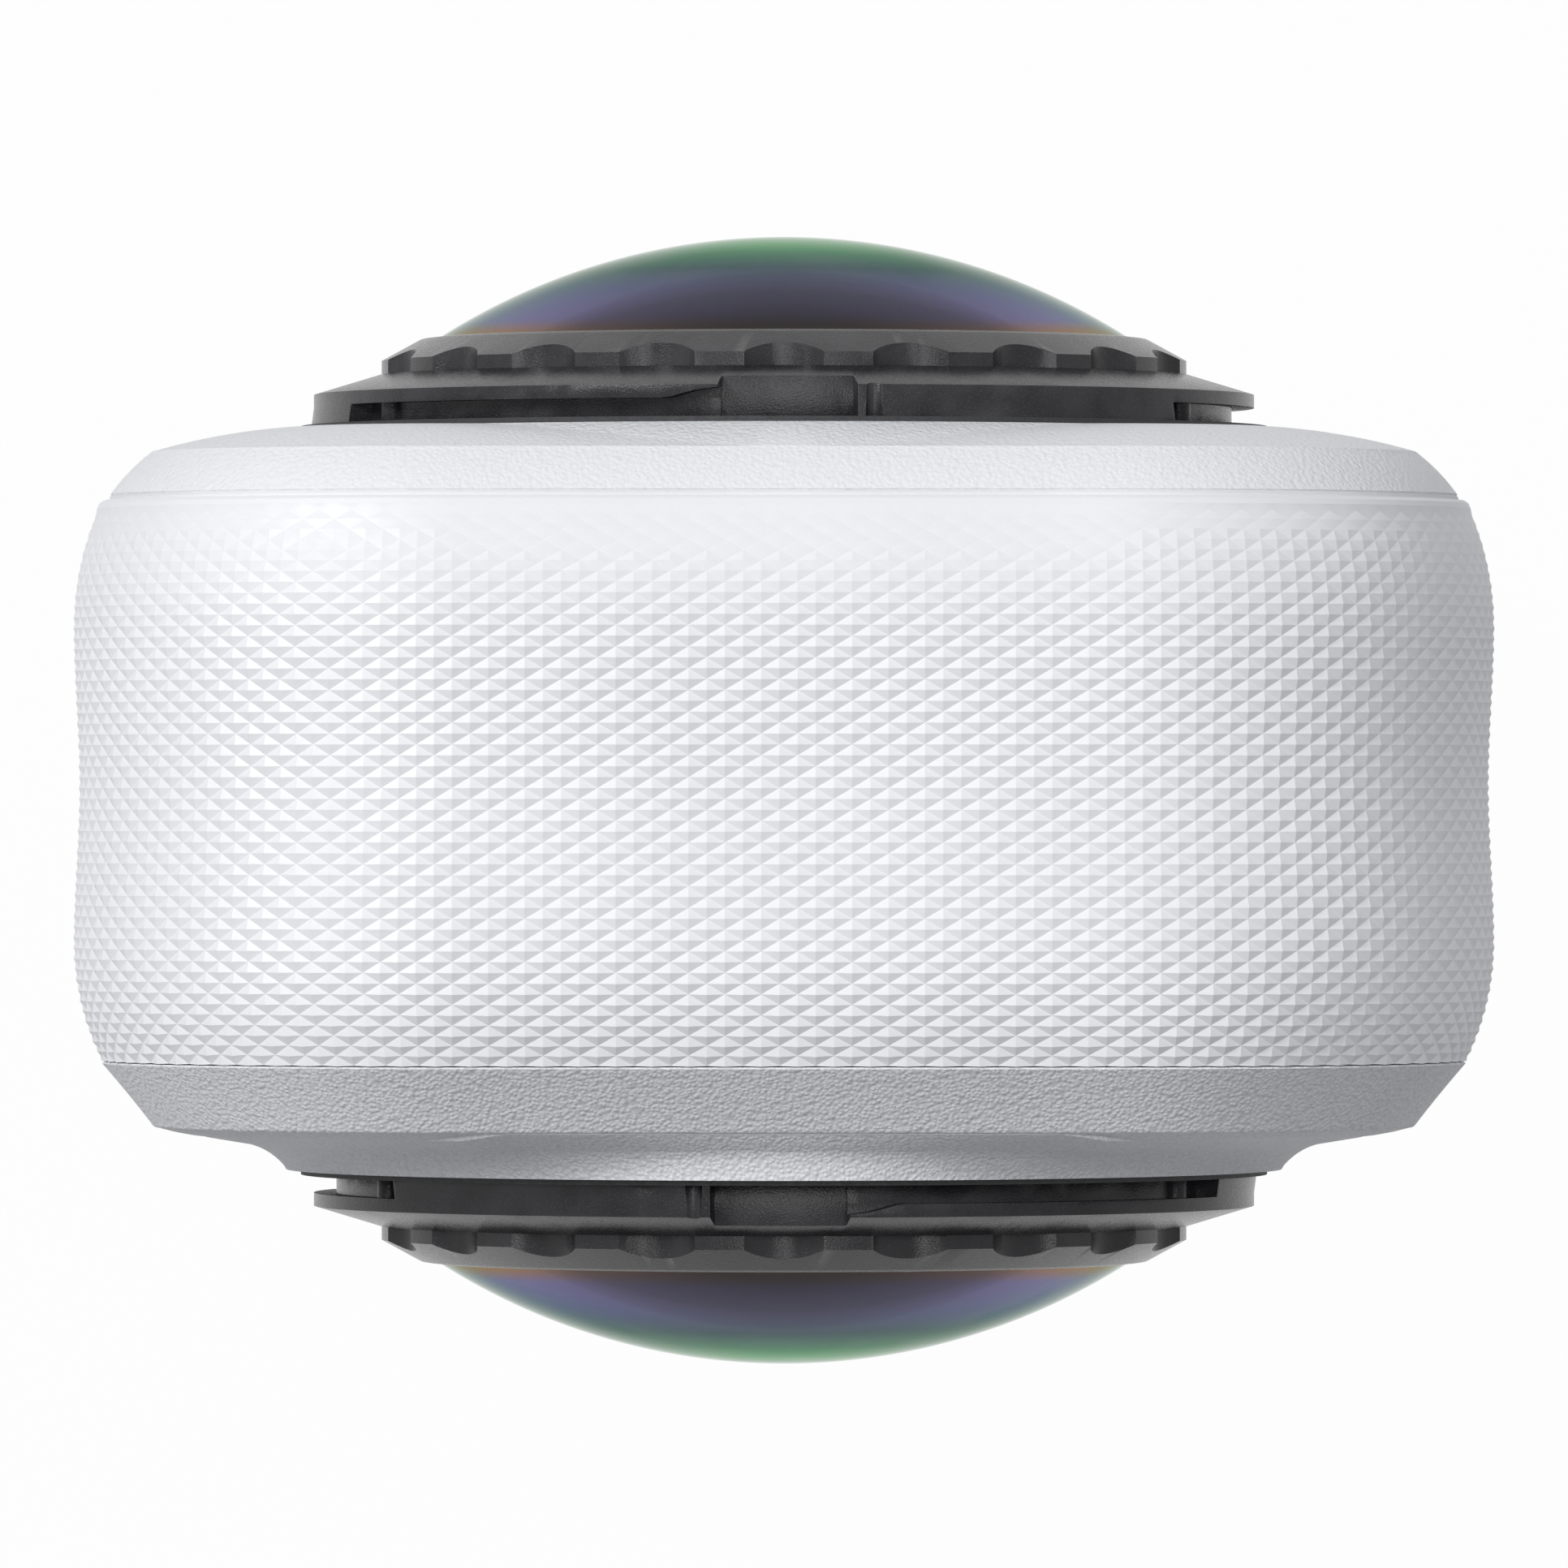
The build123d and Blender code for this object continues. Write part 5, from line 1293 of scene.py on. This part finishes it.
# %% Black parts
LOOK.update({
    # the lighter specks on both mounts are painted glints
    "collar": surface("satin_black", (0.010, 0.010, 0.012), 0.24, 0.05, 0.013, 0.3, 0.01, 0.20,
                      edge=(0.5, (0.05, 0.05, 0.055)), painted_glint=(1.0, (0.060, 0.060, 0.064)), specular=0.22),
    "lens_ring": surface("anodised_black", (0.011, 0.011, 0.013), 0.22, 0.05, 0.012, 0.3, 0.01, 0.20,
                         edge=(0.5, (0.06, 0.06, 0.065)), painted_glint=(1.0, (0.065, 0.065, 0.070)), specular=0.24),
    "barrel_black": surface("flocked_black", (0.010, 0.010, 0.011), 0.80, 0.12, 0.02, 0.2, 0.2, 0.1,
                            specular=0.2),
    "seal_rubber": surface("black_rubber", (0.022, 0.022, 0.024), 0.70, 0.15, 0.01, 0.4, 0.2, 0.2),
    "button_black": surface("black_plastic", (0.026, 0.026, 0.029), 0.42, 0.16, 0.008, 0.6, 0.1, 0.2,
                            edge=(0.5, (0.07, 0.07, 0.08)), specular=0.25),
    "inner_plastic": surface("inner_black", (0.040, 0.040, 0.043), 0.55, 0.16, 0.015, 0.6, 0.12, 0.15,
                             edge=(0.4, (0.09, 0.09, 0.09))),
    "display_black": surface("dark_panel", (0.006, 0.006, 0.008), 0.22, 0.3, 0.002, 0.3, 0.3, 0.1, coat=0.5),
    "chip_black": surface("chip_resin", (0.022, 0.022, 0.023), 0.60, 0.09, 0.008, 0.5, 0.2, 0.15),
    "battery_wrap": surface("shrink_wrap", (0.045, 0.045, 0.050), 0.38, 0.6, 0.020, 0.2, 0.1, 0.1, coat=0.2),
})
print(len(LOOK), "finishes with the black ones")

# %% [markdown]
# ## Boards, cables and metal
# These lie inside and show through openings only, but they get the same care, because
# someone may open the model. Drawn steel has lines along one axis.

# %% Boards and metal
LOOK.update({
    "circuit_board": surface("solder_mask", (0.012, 0.060, 0.035), 0.35, 0.5, 0.01, 0.6, 0.3, 0.2,
                             edge=(0.6, (0.35, 0.30, 0.16)), coat=0.4),
    "sensor_glass": surface("sensor_cover", (0.045, 0.035, 0.070), 0.10, 0.2, 0.001, 0.2, 0.2, 0.06,
                            coat=0.8),
    "flat_cable": surface("amber_film", (0.36, 0.17, 0.035), 0.30, 0.3, 0.003, 0.3, 0.15, 0.15,
                          coat=0.5, brushed=2),
    "light_alloy": surface("cast_light_alloy", (0.58, 0.59, 0.60), 0.42, 0.22, 0.012, 0.5, 0.08, 0.2,
                           metallic=1.0),
    "steel": surface("drawn_steel", (0.56, 0.56, 0.57), 0.30, 0.12, 0.003, 0.2, 0.06, 0.25, metallic=1.0,
                     edge=(0.5, (0.72, 0.72, 0.73)), brushed=2),
    "contact_metal": surface("gold_plate", (0.78, 0.55, 0.20), 0.24, 0.10, 0.002, 0.2, 0.06, 0.15,
                             metallic=1.0, edge=(0.4, (0.60, 0.45, 0.25))),
})
print(len(LOOK), "finishes with boards and metal")

# %% [markdown]
# ## Coated glass
# Seen from the side, the domes are green at the top, then blue, purple and orange at the
# ring, and dark in the middle. A tinted glass alone stays grey, so a coloured mirror
# lies over it, and mixes in more and more towards a glancing view.

# %% Coated glass
def coated_glass(name, reach, tint, film, rough=0.01, ior=1.20):
    """Clear tinted glass under a film that mirrors most at a glancing view.

    film lists (glance, mirror strength), from 0 for looking straight on to 1 for looking along the surface.
    """
    material = bpy.data.materials.new(name)
    material.use_nodes = True
    tree = material.node_tree
    clear = tree.nodes["Principled BSDF"]
    place = tree.nodes.new("ShaderNodeTexCoord").outputs["Object"]
    coating, marks = tree.nodes.new("ShaderNodeGroup"), tree.nodes.new("ShaderNodeGroup")
    coating.node_tree, marks.node_tree = coat_group, smudge_group
    for group in (coating, marks):
        tree.links.new(place, group.inputs["Place"])
    coating.inputs["Reach"].default_value = reach
    clear.inputs["Base Color"].default_value = (*tint, 1)
    clear.inputs["Transmission Weight"].default_value = 1.0
    clear.inputs["IOR"].default_value = ior
    haze = math_node(tree, "ADD", math_node(tree, "MULTIPLY", marks.outputs["Mark"], 0.02), rough)
    tree.links.new(haze, clear.inputs["Roughness"])
    mirror = tree.nodes.new("ShaderNodeBsdfPrincipled")
    mirror.inputs["Metallic"].default_value = 1.0
    mirror.inputs["Specular Tint"].default_value = (0.40, 0.52, 0.42, 1)
    tree.links.new(coating.outputs["Tint"], mirror.inputs["Base Color"])
    tree.links.new(math_node(tree, "ADD", haze, 0.02), mirror.inputs["Roughness"])
    facing = tree.nodes.new("ShaderNodeLayerWeight")
    facing.inputs["Blend"].default_value = 0.5
    curve = tree.nodes.new("ShaderNodeValToRGB")
    tree.links.new(facing.outputs["Facing"], curve.inputs["Fac"])
    fill_ramp(curve.color_ramp, [(at, (level, level, level)) for at, level in film])
    mixed(tree, curve.outputs["Color"], clear.outputs[0], mirror.outputs[0],
          tree.nodes["Material Output"].inputs["Surface"])
    return material


DOME_FILM = [(0.0, 0.01), (0.50, 0.015), (0.60, 0.13), (0.70, 0.62), (0.80, 0.97), (1.0, 1.0)]
ELEMENT_FILM = [(0.0, 0.06), (0.40, 0.10), (0.70, 0.30), (0.90, 0.90), (1.0, 1.0)]
LOOK["dome_glass"] = coated_glass("coated_dome", 11.4, (0.040, 0.042, 0.066), DOME_FILM)
LOOK["element_glass"] = coated_glass("coated_element", 8.0, (0.25, 0.28, 0.34), ELEMENT_FILM, 0.02)
print("two kinds of coated glass")

# %% [markdown]
# ## Screen
# The screen is off, so its cover is near black and polished, and only finger marks break
# the sheen. They raise the roughness and lighten the black a little.

# %% Screen cover glass: black, polished, with a few finger marks
POLISHED, SMEARED = 0.05, 0.22                      # roughness of clean and of touched glass
screen = bpy.data.materials.new("black_cover_glass")
screen.use_nodes = True
screen_tree = screen.node_tree
screen_shade = screen_tree.nodes["Principled BSDF"]
screen_place = screen_tree.nodes.new("ShaderNodeTexCoord").outputs["Object"]
screen_marks = screen_tree.nodes.new("ShaderNodeGroup")
screen_marks.node_tree = smudge_group
screen_tree.links.new(screen_place, screen_marks.inputs["Place"])
mark = screen_marks.outputs["Mark"]
dull = band_of(screen_tree, mark, 0.0, 0.6, POLISHED, SMEARED)
screen_tree.links.new(dull, screen_shade.inputs["Roughness"])
oily = screen_tree.nodes.new("ShaderNodeMix")
oily.data_type = "RGBA"
oily.inputs["A"].default_value = (0.006, 0.006, 0.008, 1)
oily.inputs["B"].default_value = (0.022, 0.022, 0.024, 1)
screen_tree.links.new(mark, oily.inputs["Factor"])
screen_tree.links.new(oily.outputs["Result"], screen_shade.inputs["Base Color"])
screen_shade.inputs["Specular IOR Level"].default_value = 0.30
LOOK["screen_glass"] = screen
print(len(LOOK), "finishes in all")

# %% [markdown]
# ## Hand out the materials
# The record names a slot for each node, and each new piece carries the slot of the node
# that it replaces. So one loop over both dresses the whole camera.

# %% Give every piece and every node its material
slot_of = {part["node"]: part["material_slot"] for part in frame["record"]["subparts"]}
for name, obj in frame["nodes"].items():
    obj.data.materials.clear()
    obj.data.materials.append(LOOK[slot_of[name]])
dressed = [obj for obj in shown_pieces() if "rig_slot" in obj]
for obj in dressed:
    obj.data.materials.clear()
    obj.data.materials.append(LOOK[obj["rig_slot"]])
print(len(dressed), "pieces and", len(frame["nodes"]), "nodes have materials")
